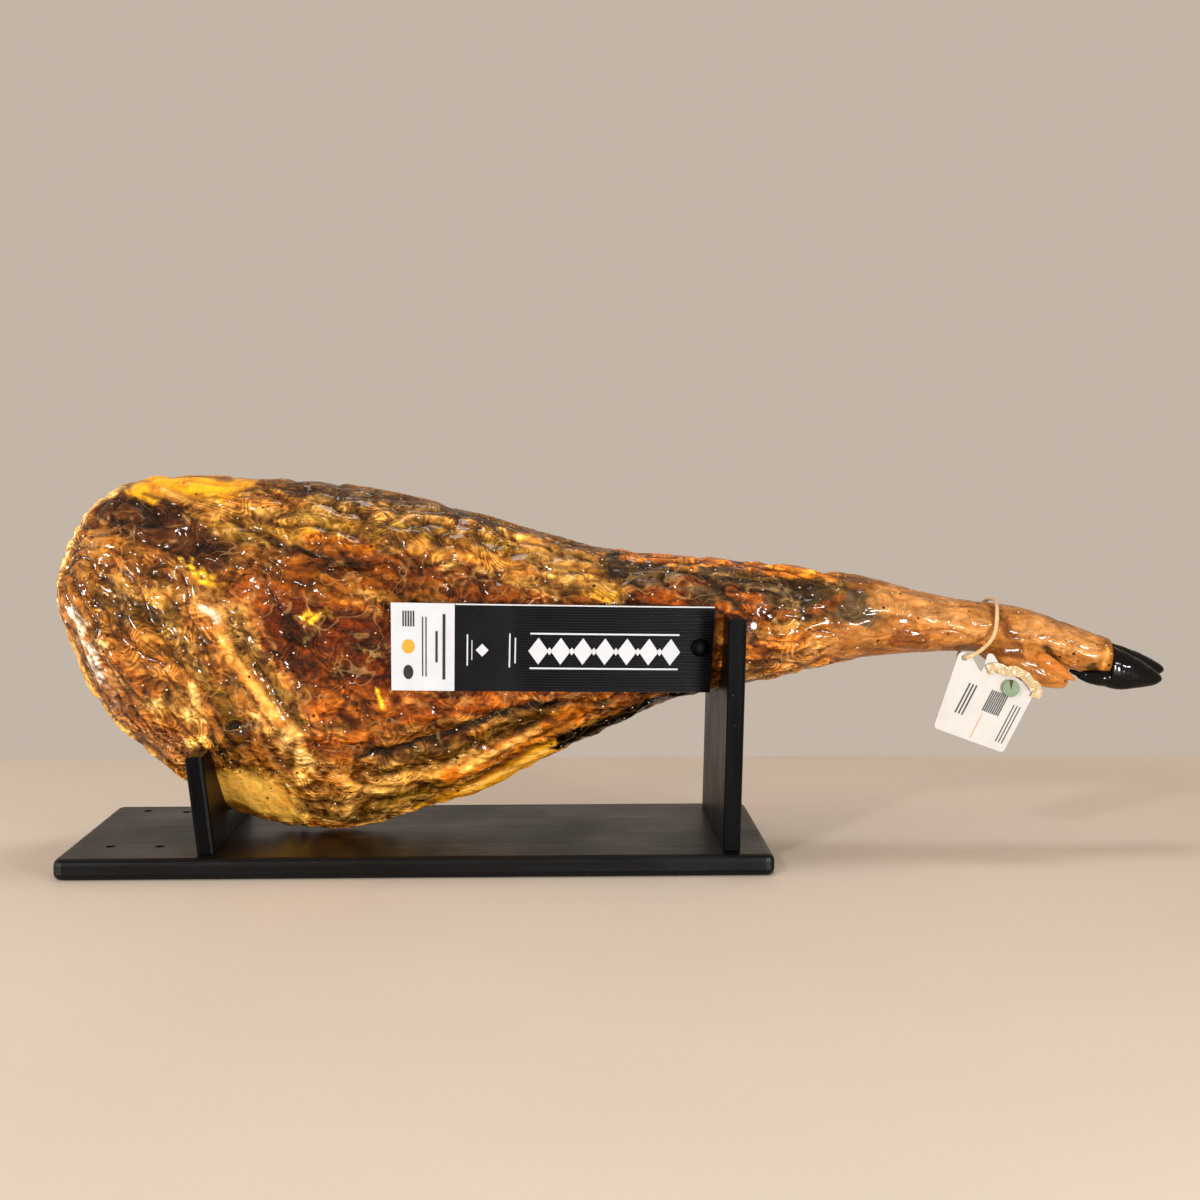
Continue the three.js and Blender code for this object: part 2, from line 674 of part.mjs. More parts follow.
function labelCard() {
  const { thickness, topLeft, topRight, bottomLeft, bottomRight, endSlant } = LABEL;
  const plan = new THREE.SplineCurve(LABEL_PLAN.map(([x, y]) => new THREE.Vector2(x, y)));
  const front = plan.getSpacedPoints(LABEL_STEPS);
  const back = front.map((point, index) => {
    const tangent = plan.getTangentAt(index / LABEL_STEPS);
    return new THREE.Vector2(point.x - tangent.y * thickness, point.y + tangent.x * thickness);
  });
  const card = new THREE.ExtrudeGeometry(new THREE.Shape([...front, ...back.reverse()]), {
    depth: 1, bevelEnabled: false,
  });
  const position = card.attributes.position;
  const left = front[0].x;
  const right = front[LABEL_STEPS].x;
  for (let index = 0; index < position.count; index += 1) {
    const share = (position.getX(index) - left) / (right - left);
    const bottom = blend(bottomLeft, bottomRight, share);
    const top = blend(topLeft, topRight, share);
    const height = position.getZ(index);
    position.setX(index, position.getX(index) - endSlant * share * (1 - height));
    position.setZ(index, blend(bottom, top, height));
  }
  return toManifold(card);
}

function labelStud() {
  const { x, z, radius, height, dome, rings, sides } = STUD;
  const plan = new THREE.SplineCurve(LABEL_PLAN.map(([px, py]) => new THREE.Vector2(px, py)));
  const spots = plan.getSpacedPoints(PLAN_SAMPLES);
  const index = spots.findIndex((spot) => spot.x > x);
  const tangent = plan.getTangentAt(index / PLAN_SAMPLES);
  const profile = [new THREE.Vector2(0, 0)];
  for (let ring = 0; ring <= rings; ring += 1) {
    const angle = (Math.PI / 2) * (ring / rings);
    const across = ring === rings ? 0 : radius * Math.cos(angle) ** dome;
    profile.push(new THREE.Vector2(across, height * Math.sin(angle)));
  }
  const stud = new THREE.LatheGeometry(profile, sides);
  const outwards = new THREE.Vector3(tangent.y, -tangent.x, 0);
  stud.applyQuaternion(new THREE.Quaternion().setFromUnitVectors(new THREE.Vector3(0, 1, 0), outwards));
  const seat = new THREE.Vector3(spots[index].x, spots[index].y, z).addScaledVector(outwards, GAP);
  stud.translate(seat.x, seat.y, seat.z);
  return toManifold(stud);
}

// Hang tag

function loopCord() {
  const path = new THREE.CatmullRomCurve3(LOOP_PATH.map((point) => new THREE.Vector3(...point)), true);
  return toManifold(new THREE.TubeGeometry(path, LOOP.steps, LOOP.radius, LOOP.sides, true));
}

// A flat plate in the X-Z plane with its front face at Y = front
function uprightPlate(outline, front, thickness, edge) {
  const plate = new THREE.ExtrudeGeometry(outline, {
    depth: thickness - 2 * edge,
    bevelEnabled: edge > 0,
    bevelThickness: edge,
    bevelSize: edge,
    bevelOffset: -edge,
    bevelSegments: 2,
    curveSegments: 6,
  });
  plate.rotateX(Math.PI / 2);
  plate.translate(0, front + thickness - edge, 0);
  return plate;
}

function hangTag() {
  const outline = roundedOutline(TAG_OUTLINE, TAG.corner);
  const plate = toManifold(uprightPlate(outline, TAG.front, TAG.thickness, 0));
  const eye = new THREE.CylinderGeometry(TAG.eyeRadius, TAG.eyeRadius, 4 * TAG.thickness, TAG.eyeSides);
  eye.translate(TAG.eye[0], TAG.front, TAG.eye[1]);
  return plate.subtract(toManifold(eye));
}

function sealDisc() {
  const { x, z, radius, thickness, edge, slot, slotFoot, front } = SEAL;
  const halfSlot = Math.asin(slot / 2 / radius);
  const start = Math.PI / 2 + halfSlot;
  const rim = new THREE.EllipseCurve(x, z, radius, radius, start, start + 2 * (Math.PI - halfSlot));
  const foot = new THREE.Vector2(x, z - radius * slotFoot);
  const outline = new THREE.Shape([foot, ...rim.getPoints(SEAL.rimSteps)]);
  return toManifold(uprightPlate(outline, front, thickness, edge));
}

// A strip with a rectangular section along the path, its edges crumpled by waves along its length
function sealStrap() {
  const path = new THREE.CatmullRomCurve3(STRAP_PATH.map((point) => new THREE.Vector3(...point)));
  const { longWaves, shortWaves, turn } = STRAP;
  const rows = [];
  for (let step = 0; step <= STRAP.steps; step += 1) {
    const share = step / STRAP.steps;
    const centre = path.getPointAt(share);
    const along = path.getTangentAt(share);
    const across = new THREE.Vector3(0, 1, 0).cross(along).normalize();
    const front = new THREE.Vector3(0, -1, 0);
    const waves = Math.sin(longWaves * share + turn) * Math.cos(shortWaves * share);
    const wave = 1 + STRAP.crumple * waves;
    const half = (STRAP.width / 2) * wave;
    const thick = STRAP.thickness / 2;
    rows.push([[-half, thick], [half, thick], [half, -thick], [-half, -thick]].map(([a, f]) => (
      centre.clone().addScaledVector(across, a).addScaledVector(front, f).toArray()
    )));
  }
  const ends = [0, 1].map((share) => path.getPointAt(share).toArray());
  return toManifold(skinOver(rows, ends[0], ends[1]));
}

// Scene graph

function addPiece(group, name, solid, look) {
  const mesh = new THREE.Mesh(toGeometry(solid), new THREE.MeshStandardMaterial(look));
  mesh.name = name;
  group.add(mesh);
}

const part = new THREE.Group();
const stand = new THREE.Group();
const leg = new THREE.Group();
const trim = new THREE.Group();
part.add(stand, leg, trim);

addPiece(stand, 'base_board', baseBoard(), MATERIALS.boards);
addPiece(stand, 'butt_board', notchedBoard(BUTT_BOARD), MATERIALS.boards);
addPiece(stand, 'shank_board', notchedBoard(SHANK_BOARD), MATERIALS.boards);
addPiece(leg, 'ham', ham(), MATERIALS.ham);
addPiece(leg, 'hoof_near', hoof(CLAW_NEAR), MATERIALS.hoof);
addPiece(leg, 'hoof_far', hoof(CLAW_FAR), MATERIALS.hoof);
addPiece(leg, 'dewclaw_near', dewclaw(DEWCLAW_NEAR), MATERIALS.dewclaw);
addPiece(leg, 'dewclaw_far', dewclaw(DEWCLAW_FAR), MATERIALS.dewclaw);
addPiece(trim, 'label_card', labelCard(), MATERIALS.label);
addPiece(trim, 'label_stud', labelStud(), MATERIALS.stud);
addPiece(trim, 'tag_loop', loopCord(), MATERIALS.loop);
addPiece(trim, 'hang_tag', hangTag(), MATERIALS.tag);
addPiece(trim, 'seal_disc', sealDisc(), MATERIALS.seal);
addPiece(trim, 'seal_strap', sealStrap(), MATERIALS.strap);

export default part;
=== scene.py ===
"""A whole cured ham in its black wooden stand, with a label card and a hang tag.

The script dresses the packed part. It is laid out as an add-on: settings, one operator for each
piece or group of like pieces, one for the stage, and a panel that lists them. Lengths are in
millimetres until a mesh is written. +X runs along the leg to the hoof, -Y is the near side with
the label, and +Z is up.
"""
import itertools
import math

import bpy
import numpy as np
from bpy.props import BoolProperty, FloatProperty, FloatVectorProperty, PointerProperty
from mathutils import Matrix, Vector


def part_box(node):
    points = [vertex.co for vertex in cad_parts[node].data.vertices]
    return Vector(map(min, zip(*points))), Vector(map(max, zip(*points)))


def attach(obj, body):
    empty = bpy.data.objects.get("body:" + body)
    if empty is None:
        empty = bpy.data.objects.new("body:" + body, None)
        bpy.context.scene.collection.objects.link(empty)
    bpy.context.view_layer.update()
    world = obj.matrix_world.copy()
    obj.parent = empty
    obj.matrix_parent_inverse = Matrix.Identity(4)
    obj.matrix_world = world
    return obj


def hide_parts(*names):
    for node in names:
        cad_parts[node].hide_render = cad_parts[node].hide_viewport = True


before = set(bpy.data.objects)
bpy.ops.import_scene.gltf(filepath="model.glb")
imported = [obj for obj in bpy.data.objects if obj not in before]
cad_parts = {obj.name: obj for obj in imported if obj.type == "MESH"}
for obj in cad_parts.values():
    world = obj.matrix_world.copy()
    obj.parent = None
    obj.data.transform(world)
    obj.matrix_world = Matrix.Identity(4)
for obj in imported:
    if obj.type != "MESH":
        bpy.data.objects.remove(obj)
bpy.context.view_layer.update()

bl_info = {
    "name": "Cured Ham in Its Stand",
    "version": (1, 0, 0),
    "blender": (4, 5, 0),
    "location": "3D Viewport > Sidebar > Ham",
    "description": "Builds the finished surfaces of a cured ham, its wooden stand, label and hang tag",
    "category": "Add Mesh",
}

MM = 0.001
BODY = "root"


def srgb(red, green, blue):
    """Linear colour of a screen colour given in 0 to 255."""
    parts = np.array([red, green, blue]) / 255
    linear = np.where(parts <= 0.04045, parts / 12.92, ((parts + 0.055) / 1.055) ** 2.4)
    return tuple(float(part) for part in linear)


# Ham: X of each cross-section, its top and bottom Z and its half depth in Y
HAM_STATIONS = [
    (-265.5, 201, 201, 0), (-262, 218, 172, 23), (-251.5, 237, 139, 38), (-234, 260, 105, 51),
    (-207, 274.5, 77.5, 59.5), (-172, 278.6, 51, 64), (-130, 277.4, 26, 66.5), (-90, 274.5, 17.2, 68),
    (-50, 271, 17.4, 68), (-8, 263.5, 28, 65.5), (38, 251, 42.5, 61.5), (88, 237, 68, 56.5),
    (138, 224.6, 91.5, 50), (190, 219.8, 113.8, 43), (238, 215.2, 123.8, 37.5), (288, 209.2, 133.2, 33),
    (338, 200.6, 144.2, 28.5), (380, 190.2, 147.4, 25), (416, 184.4, 146.2, 23), (452, 178, 141.5, 22),
    (482, 168.2, 133, 20.5), (506, 158, 127.5, 18.6), (526, 147, 124.5, 14), (534, 136, 136, 0),
]
SECTION_POWER = 2.25
BELLY = {"butt": 0.42, "shank": 0.12, "from": 0, "to": 200}
TOP_DRAW_IN = 0.08
NEAR_SIDE_BIAS = 0.3
HAM_ROWS = 430
HAM_SIDES = 226
ROW_SPACING = {"butt": 1.0, "shank": 1.25, "from": 120, "to": 300, "rise_share": 0.5, "samples": 4000}
CUT_PLANE = {"x": 509.4, "z": 140, "lean": 6, "fade": 26}
CUT_SLOPE = math.tan(math.radians(CUT_PLANE["lean"]))
BASE_TOP = 15
CLEARANCE = 0.7

# The two boards as the ham sees them: X of the middle of each, and the Z of its top. The relief
# fades out towards them over these distances beside and above.
NOTCHES = [{"x": -153.3, "top": 84.6}, {"x": 226.9, "top": 179}]
NOTCH_FADE = {"beside": (12, 30), "above": (4, 20)}

# Bags of skin that carry the dew claws, and the lean that makes a bag fuller towards its end
SKIN_BAGS = [
    {"from": (400, -7, 160), "to": (478, -12.5, 124.5), "wide": 9.5, "high": 12},
    {"from": (400, 7, 158), "to": (474, 9, 121.5), "wide": 8.5, "high": 10.5},
]
BAG_BLEND = 3.5
BAG_LEAN = 1.15
BAG_LEAST = 1e-6
DEWCLAWS = {
    "dewclaw_near": {"from": (452, -13.5, 145), "to": (482.6, -17, 126.3), "wide": 6.2, "high": 6.4},
    "dewclaw_far": {"from": (449, 10, 139), "to": (478, 12, 119), "wide": 5.6, "high": 5.8},
}

# A dew claw's share of root and the powers of its taper
HORN = {"root": 0.25, "taper": 1.5, "tip": 0.8, "rings": 50, "sides": 40}

# Split hoof: claw stations as the ham's, and where each claw lies
CLAW_STATIONS = [
    (494, 141, 130, 0), (500, 152, 122.5, 8.8), (508, 153, 120.2, 9.7), (516, 149.8, 118.7, 10),
    (530, 142.8, 119.6, 9.4), (541, 135.8, 121.4, 6.8), (547, 131, 123.8, 3.8), (549.5, 127, 127, 0),
]
CLAWS = {
    "hoof_near": {"y": -10.5, "reach": 0, "rise": 0},
    "hoof_far": {"y": 10.5, "reach": 9, "rise": 4.6},
}
CLAW_MESH = {"rings": 90, "sides": 64}
GROWTH_RINGS = {"height": 0.035, "turns": 1.7, "bend": 0.3}
CLAW_DENTS = {"cell": (9, 5, 5), "seed": 40, "depth": 0.3}
CORONET_GAP = 0.4
HEEL = {
    "from": (484.5, 129.5), "to": (524, 127), "high": 7.4, "wide": 8.6, "draw_in": 0.9, "rise": 1 / 3,
    "rings": 40, "sides": 48, "dents": 0.5, "dent_cell": 7, "seed": 41,
}

# Label card: plan points of its front face, the heights of its edges, its size, and the shares of its
# length where the white panel ends and where the ribs begin and are full. Print lies between a front
# and a back, in millimetres over the face.
LABEL_PLAN = [(-17.5, -73.2), (40, -67.2), (100, -60.2), (150, -53.6), (188, -47.8), (212, -43.6)]
LABEL = {
    "thickness": 1.8, "top_left": 190.3, "top_right": 184.3, "bottom_left": 128.8, "bottom_right": 122.4,
    "end_slant": 3.6, "samples": 400,
}
LABEL_WIDE = 231.5
LABEL_TALL = LABEL["top_left"] - LABEL["bottom_left"]
LABEL_MESH = {"panel_columns": 26, "columns": 110, "rows": 199}
PANEL_END = 0.192
RIB_START = (0.34, 0.44)
RIB_EDGE = {"height": 0.02, "length": 0.01}
EDGE_LINE = {"from": 45, "to": 231, "width": 0.9, "gap": 0.02, "steps": 40}
PRINT_FRONT, PRINT_BACK = 0.3, 0.05
# Card's print in millimetres from its left end and bottom: plates and discs by their left, right,
# bottom and top, lozenges by their middle and half sizes, and stripes by their number, the first
# one's left side, their width, their pitch, bottom and top
PLATES_WHITE = [
    (98, 206, 40.5, 41.7), (98, 206, 16, 17.2), (83, 84, 17, 41), (87, 88, 20, 38), (53, 54, 18, 40),
    (56.4, 57, 22, 36),
]
LOZENGES = [(104 + 16 * step, 28.8, 7.2, 9.5) for step in range(7)]
LOZENGES += [(112 + 16 * step, 28.8, 2.2, 2.8) for step in range(6)] + [(64, 29, 4.6, 4.6)]
PLATES_BLACK = [(36, 38, 8, 54), (31, 32.6, 20, 42), (24, 24.8, 10, 52), (21.6, 22.4, 10, 52)]
STRIPES_BLACK = (5, 8, 1, 1.8, 45, 56)
DISC_BLACK = (8.4, 15.4, 8, 18)
DISC_ORANGE = (7.6, 16.4, 26, 36)
PRINT_STEPS = {"plate": 12, "stripe": 4, "disc": 16, "lozenge": 9, "tag": 3}
STUD = {
    "x": 200.2, "z": 155, "radius": 6.4, "height": 3, "gap": 0.35, "fullness": 0.6, "rings": 13, "sides": 48,
}

# Hang tag, its loop, its strap, and a dark plate in the slot of its seal as painted shadow
LOOP_PATH = [
    (422.6, -3, 186.4), (422.8, -15, 183.4), (420.8, -24.6, 175), (418.6, -28.4, 164), (413.8, -32, 157),
    (406, -37.6, 151.6), (399.6, -40.8, 148.8), (395.8, -39.6, 147), (394.6, -36, 146.2), (394.3, -31, 145.6),
    (394.8, -23, 144.4), (396.6, -10, 143), (400, 5, 143.2), (405, 19, 147.4), (410, 26.4, 158),
    (415.4, 26.6, 170.6), (420.6, 15, 182.4),
]
LOOP = {"radius": 1.5, "flatness": 0.86, "wave": 0.04, "wave_turn": 0.9, "rings": 300, "sides": 24}
TAG = {"front": -36.7, "corner": (423.8, 76.2), "along": (372.4, 95), "up": (447, 122)}
STRAP_PATH = [
    (411, -38.6, 137.2), (417, -39.6, 139.6), (424, -39.2, 136.6), (431, -40.2, 136.4), (438, -39, 133.2),
    (443, -40, 127.4), (447.4, -39.2, 122.6), (446, -38.6, 117),
]
STRAP = {"width": 7.0, "thickness": 0.5, "rows": 140, "columns": 26}
STRAP_CRUMPLE = {"share": 0.16, "long_waves": 9, "short_waves": 23, "turn": 0.6}
STRAP_FOLDS = [(0.8, 5, 50), (0.35, 2.2, 51)]
TAG_PRINT_FRONT, TAG_PRINT_BACK = 0.16, 0.02
SEAL_SLOT_SHADOW = {
    "x": 428, "z": 124, "half": 1.5, "top": 5.9, "front": -39.4, "back": -38.9, "foot": 0.05, "rows": 8,
}
# Tag's print in millimetres from its lower right corner: groups of stripes, and one rule
TAG_STRIPES = [(9, 16, 1, 1.5, 24, 41), (3, 4, 0.8, 2.4, 6, 36), (3, 40, 1.2, 2.6, 16, 40)]
TAG_RULE = (27, 27.5, 2, 22)

# Paints of the ham
PAINTS = {
    "flesh": srgb(142, 86, 28),
    "flesh_pink": srgb(148, 90, 44),
    "lean": srgb(82, 27, 0),
    "lean_warm": srgb(112, 52, 6),
    "lean_orange": srgb(146, 70, 10),
    "hip": srgb(64, 30, 10),
    "hip_light": srgb(130, 76, 18),
    "olive": srgb(126, 86, 14),
    "olive_light": srgb(176, 124, 52),
    "olive_dark": srgb(80, 52, 8),
    "grey": srgb(74, 58, 38),
    "amber": srgb(128, 66, 0),
    "fat": srgb(252, 174, 26),
    "fat_pale": srgb(248, 184, 88),
    "fat_cream": srgb(240, 186, 106),
    # Painted highlight: near white for glints on the fat
    "highlight_white": srgb(250, 226, 200),
    "fat_orange": srgb(206, 116, 26),
    "fat_brown": srgb(136, 78, 12),
    "fleck": srgb(250, 186, 40),
    "tendon": srgb(208, 138, 60),
    "lard": srgb(255, 190, 78),
    # Painted shade: the next two paints darken grooves, creases, a hole by the butt board and the underside
    # below the label
    "groove_shade": srgb(34, 18, 6),
    "pit_shade": srgb(16, 9, 5),
    "skin": srgb(170, 108, 48),
    # Painted highlight on the skin
    "skin_highlight": srgb(198, 138, 76),
    "skin_dark": srgb(100, 46, 10),
    "rind": srgb(190, 122, 42),
    "rind_dark": srgb(132, 78, 24),
}

# Strokes of paint. Each holds a paint, a half width, a strength and a path in X and Z.
NEAR_STROKES = [
    ("flesh", 60, 0.9, [(-240, 170), (-150, 150), (-60, 120)]),
    ("lean_warm", 34, 0.95, [(-100, 190), (0, 190), (100, 178), (180, 168)]),
    ("lean", 30, 0.95, [(-84, 165), (-40, 150), (20, 152), (80, 155)]),
    ("lean_orange", 15, 0.85, [(-66, 118), (-20, 112), (30, 122), (90, 130), (170, 140)]),
    ("lean_warm", 12, 0.6, [(-112, 200), (-60, 206), (0, 204), (90, 190), (170, 178)]),
    ("olive_light", 19, 0.8, [(-150, 256), (-83, 248), (-13, 240), (44, 229), (101, 209)]),
    ("olive", 8, 0.75, [(-146, 240), (-110, 236), (-60, 246), (0, 236), (70, 222)]),
    ("fat_orange", 5, 0.5, [(-138, 262), (-110, 262), (-84, 258)]),
    ("flesh", 8, 0.7, [(-40, 230), (20, 226), (80, 210), (110, 198)]),
    ("grey", 6, 0.75, [(-96, 270), (-79, 269), (-23, 263), (35, 252), (101, 235), (145, 224)]),
    ("rind", 2.6, 0.8, [(-12, 224), (2, 224), (37, 219), (58, 212)]),
    ("amber", 9, 0.95, [(-76, 230), (-57, 229), (-38, 227)]),
    ("pit_shade", 1.9, 0.95, [(-88, 229), (-72, 222), (-52, 217), (-34, 216)]),
    ("amber", 14, 0.55, [(-84, 206), (-52, 202), (-20, 204)]),
    ("hip", 17, 0.95, [(-214, 258), (-194, 250), (-172, 238), (-146, 222)]),
    ("hip_light", 13, 0.75, [(-232, 236), (-210, 222), (-190, 208), (-166, 200)]),
    ("olive_dark", 15, 0.85, [(-222, 194), (-196, 188), (-176, 182)]),
    ("olive_light", 5, 0.6, [(-214, 205), (-196, 199), (-180, 192)]),
    ("fat_brown", 10, 0.7, [(-244, 206), (-238, 190), (-228, 180)]),
    ("flesh_pink", 12, 0.6, [(-246, 178), (-238, 152), (-222, 126), (-206, 106)]),
    # Painted highlights: white and cream squiggles along the butt's left edge
    ("highlight_white", 2.8, 1.0, [(-246, 182), (-236, 172), (-242, 162), (-231, 153), (-238, 143), (-226, 134)]),
    ("highlight_white", 2.4, 0.95, [(-243, 160), (-232, 157), (-228, 146), (-233, 133), (-221, 127), (-218, 114)]),
    ("fat_cream", 2.2, 0.9, [(-229, 167), (-221, 158), (-225, 149), (-216, 143), (-213, 132)]),
    ("lean_orange", 7, 0.5, [(-222, 150), (-206, 136), (-190, 124)]),
    ("olive", 7, 0.7, [(-178, 170), (-160, 150), (-146, 132), (-136, 116)]),
    ("flesh_pink", 11, 0.85, [(-226, 122), (-200, 98), (-178, 84), (-160, 78)]),
    ("skin_dark", 5, 0.6, [(-208, 112), (-190, 98), (-170, 92)]),
    ("fat_pale", 5, 0.9, [(-192, 117), (-172, 111), (-154, 108)]),
    ("fat_cream", 3.2, 0.95, [(-158, 130), (-156, 122), (-159, 113)]),
    ("rind", 6, 0.9, [(-214, 74), (-203, 69), (-172, 58), (-160, 54)]),
    ("fat_pale", 3.4, 1.0, [(-164, 86), (-156, 91), (-150, 88)]),
    ("groove_shade", 2.6, 0.85, [(-147, 92), (-141, 84), (-138, 76)]),
    ("olive_light", 9, 0.6, [(-128, 180), (-118, 160), (-104, 138), (-92, 118), (-84, 98)]),
    ("olive_dark", 6, 0.6, [(-124, 170), (-112, 150), (-98, 128), (-88, 106)]),
    ("flesh_pink", 1.9, 0.75, [(-116, 182), (-104, 166), (-95, 151), (-88, 135), (-76, 113), (-70, 98)]),
    ("olive_dark", 9, 0.7, [(-140, 122), (-136, 106), (-126, 92)]),
    ("pit_shade", 4.2, 0.95, [(-133, 102), (-126, 101)]),
    ("fat_pale", 10, 0.8, [(-110, 106), (-98, 96), (-86, 80), (-78, 64)]),
    ("fat_cream", 1.6, 0.8, [(-106, 104), (-96, 98), (-90, 86), (-80, 80), (-76, 66)]),
    ("fat_cream", 1.4, 0.8, [(-100, 92), (-92, 90), (-84, 74), (-74, 74)]),
    ("tendon", 4.6, 0.95, [(-140, 186), (-134, 168), (-126, 147), (-112, 128), (-94, 104)]),
    ("fat_pale", 2.6, 0.75, [(-134, 168), (-125, 148), (-112, 129), (-98, 110)]),
    ("tendon", 6, 0.7, [(-154, 188), (-146, 186), (-140, 182)]),
    # Painted highlight where the ridge begins
    ("highlight_white", 2.2, 0.7, [(-151, 187), (-144, 184), (-139, 178)]),
    ("hip_light", 7, 0.75, [(-60, 196), (-20, 192), (20, 190)]),
    ("fleck", 1.3, 1.0, [
        (-166, 220), (-162, 216), (-157, 214), (-155, 208), (-150, 212), (-146, 206), (-141, 207)]),
    ("fleck", 1.2, 1.0, [(-158, 220), (-157, 214), (-152, 205), (-145, 203), (-138, 199), (-134, 203)]),
    ("fleck", 1.4, 1.0, [(-80, 179), (-76, 183), (-72, 179), (-66, 184), (-60, 182)]),
    ("fleck", 1.2, 1.0, [(-74, 176), (-68, 180), (-63, 186)]),
    ("fleck", 1.2, 1.0, [(-29, 129), (-27, 122), (-25, 116)]),
    ("lard", 17, 1.0, [(-158, 52), (-132, 52), (-112, 48), (-98, 34)]),
    ("fat_orange", 6, 0.35, [(-112, 66), (-102, 54), (-98, 40)]),
    # Painted shade along the edge where the meat overhangs the smooth fat
    ("fat_brown", 1.5, 0.9, [(-157, 69), (-131, 72), (-103, 67), (-96, 50)]),
    ("fat_brown", 7, 0.85, [(-150, 38), (-130, 28), (-104, 18)]),
    ("groove_shade", 4, 0.6, [(-146, 32), (-128, 24), (-102, 16)]),
    ("olive_light", 13, 0.9, [(-80, 40), (-56, 34), (-30, 38), (0, 44)]),
    ("olive_dark", 4, 0.8, [(-70, 32), (-52, 26), (-36, 30)]),
    ("olive_dark", 3.4, 0.85, [(-20, 44), (-4, 48), (14, 58), (30, 60)]),
    ("tendon", 7, 0.7, [(-72, 62), (-52, 58), (-34, 60)]),
    ("lean_orange", 10, 0.7, [(-74, 96), (-58, 84), (-40, 90)]),
    ("olive_dark", 7, 0.8, [(-26, 68), (15, 80), (57, 95), (96, 108), (130, 118)]),
    ("fat_pale", 5.5, 0.85, [(-52, 50), (-20, 56), (10, 66), (40, 76)]),
    ("olive", 5, 0.7, [(-40, 34), (-10, 44), (20, 56), (44, 66)]),
    ("fat_orange", 7, 0.95, [(18, 60), (43, 70), (72, 84), (104, 104), (118, 112)]),
    ("fat_pale", 3, 0.7, [(28, 66), (60, 80), (84, 96)]),
    ("fat", 6.5, 0.95, [(0, 32), (24, 43), (57, 58), (93, 78), (129, 97), (146, 104)]),
    ("fat_brown", 3, 0.7, [(4, 38), (34, 52), (60, 66), (88, 84), (112, 96)]),
    ("fat_pale", 2.2, 0.7, [(30, 46), (72, 67), (104, 84), (134, 99)]),
    ("skin_dark", 2.4, 0.9, [(92, 102), (101, 98), (110, 105)]),
    ("pit_shade", 1.5, 0.85, [(78, 88), (88, 91), (96, 95)]),
    ("fat_brown", 2, 0.8, [(50, 72), (58, 77), (66, 78)]),
    ("groove_shade", 3.6, 0.95, [(-44, 78), (-5, 87), (34, 100), (64, 112), (96, 116)]),
    ("pit_shade", 1.4, 0.9, [(-40, 79), (-5, 87), (34, 100), (64, 112), (90, 115)]),
    ("lean_warm", 9, 0.9, [(112, 118), (150, 126), (205, 132)]),
    # Painted shadow under the label's lower edge
    ("skin_dark", 6, 0.85, [(132, 108), (160, 116), (200, 126)]),
    ("pit_shade", 9, 1.0, [(104, 82), (150, 102), (206, 117)]),
    ("olive_light", 13, 0.9, [(104, 212), (126, 206), (142, 198)]),
    ("fat", 4, 0.5, [(120, 196), (134, 192), (146, 192)]),
    ("grey", 11, 0.9, [(144, 214), (168, 207), (190, 200)]),
    ("lean_orange", 9, 0.7, [(166, 190), (196, 186), (232, 182), (262, 178)]),
    ("grey", 13, 0.92, [(206, 200), (252, 194), (296, 188), (322, 180)]),
    ("grey", 6, 0.8, [(286, 176), (306, 172), (318, 170)]),
    ("lean_orange", 4.5, 0.8, [(226, 194), (242, 189)]),
    ("lean_orange", 4, 0.7, [(282, 181), (298, 184), (306, 191)]),
    ("skin_dark", 3.4, 0.8, [(180, 200), (196, 203), (210, 200)]),
    ("olive_dark", 6, 0.8, [(232, 207), (268, 203), (306, 196)]),
    ("skin", 13, 0.9, [(196, 158), (231, 148), (275, 152), (318, 158)]),
    ("fat_orange", 8, 0.6, [(206, 146), (240, 150), (276, 160)]),
    ("hip_light", 6, 0.5, [(240, 172), (270, 174), (300, 172)]),
    ("rind_dark", 4, 0.6, [(206, 128), (240, 128), (280, 134), (320, 142)]),
]
# Strokes that run round both sides
AROUND_STROKES = [
    ("fat_orange", 6, 0.8, [(150, 222), (195, 218), (247, 213), (300, 206)]),
    ("fat", 11, 1.0, [(-202, 271), (-182, 271), (-158, 269), (-140, 272), (-126, 277)]),
    ("fat_brown", 3, 0.7, [(-163, 262), (-156, 264), (-152, 259)]),
    ("fat_brown", 2.4, 0.7, [(-146, 276), (-138, 275)]),
    ("rind", 4.2, 0.8, [(-192, 268), (-178, 265), (-166, 260), (-152, 252)]),
    ("groove_shade", 1.3, 0.8, [(-198, 265), (-182, 261), (-170, 255), (-158, 247)]),
    ("fat_pale", 2, 0.7, [(-184, 268), (-172, 263), (-160, 256)]),
    ("fat_cream", 4, 0.9, [(-213, 272), (-232, 262), (-246, 243), (-256, 220), (-262, 200), (-262, 176)]),
    ("fat_pale", 4.5, 0.7, [(-258, 168), (-248, 140), (-234, 112), (-216, 88)]),
    ("skin", 40, 0.95, [(372, 172), (420, 165), (470, 152), (505, 142)]),
    # Painted highlight along the top of the shank
    ("skin_highlight", 12, 0.7, [(336, 188), (360, 182), (388, 176)]),
    # Painted shade beside the hock
    ("skin_dark", 9, 0.85, [(350, 158), (368, 156)]),
    ("skin_dark", 4.5, 0.75, [(422, 178), (430, 164), (440, 152)]),
    ("skin_dark", 4, 0.75, [(396, 150), (418, 149), (440, 146)]),
    # Painted highlights on the ankle and the foot
    ("skin_highlight", 6, 0.7, [(384, 172), (402, 168), (414, 166)]),
    ("skin_highlight", 9, 0.6, [(448, 166), (470, 160), (492, 152)]),
    ("groove_shade", 3.2, 0.9, [(461, 152), (468, 140)]),
    ("groove_shade", 4, 0.85, [(494, 136), (500, 130), (510, 126)]),
    ("fat_brown", 2.4, 0.6, [(509, 156), (507, 146), (505, 136)]),
    ("fat_pale", 1.4, 0.7, [(506, 150), (504, 142), (503, 137)]),
]
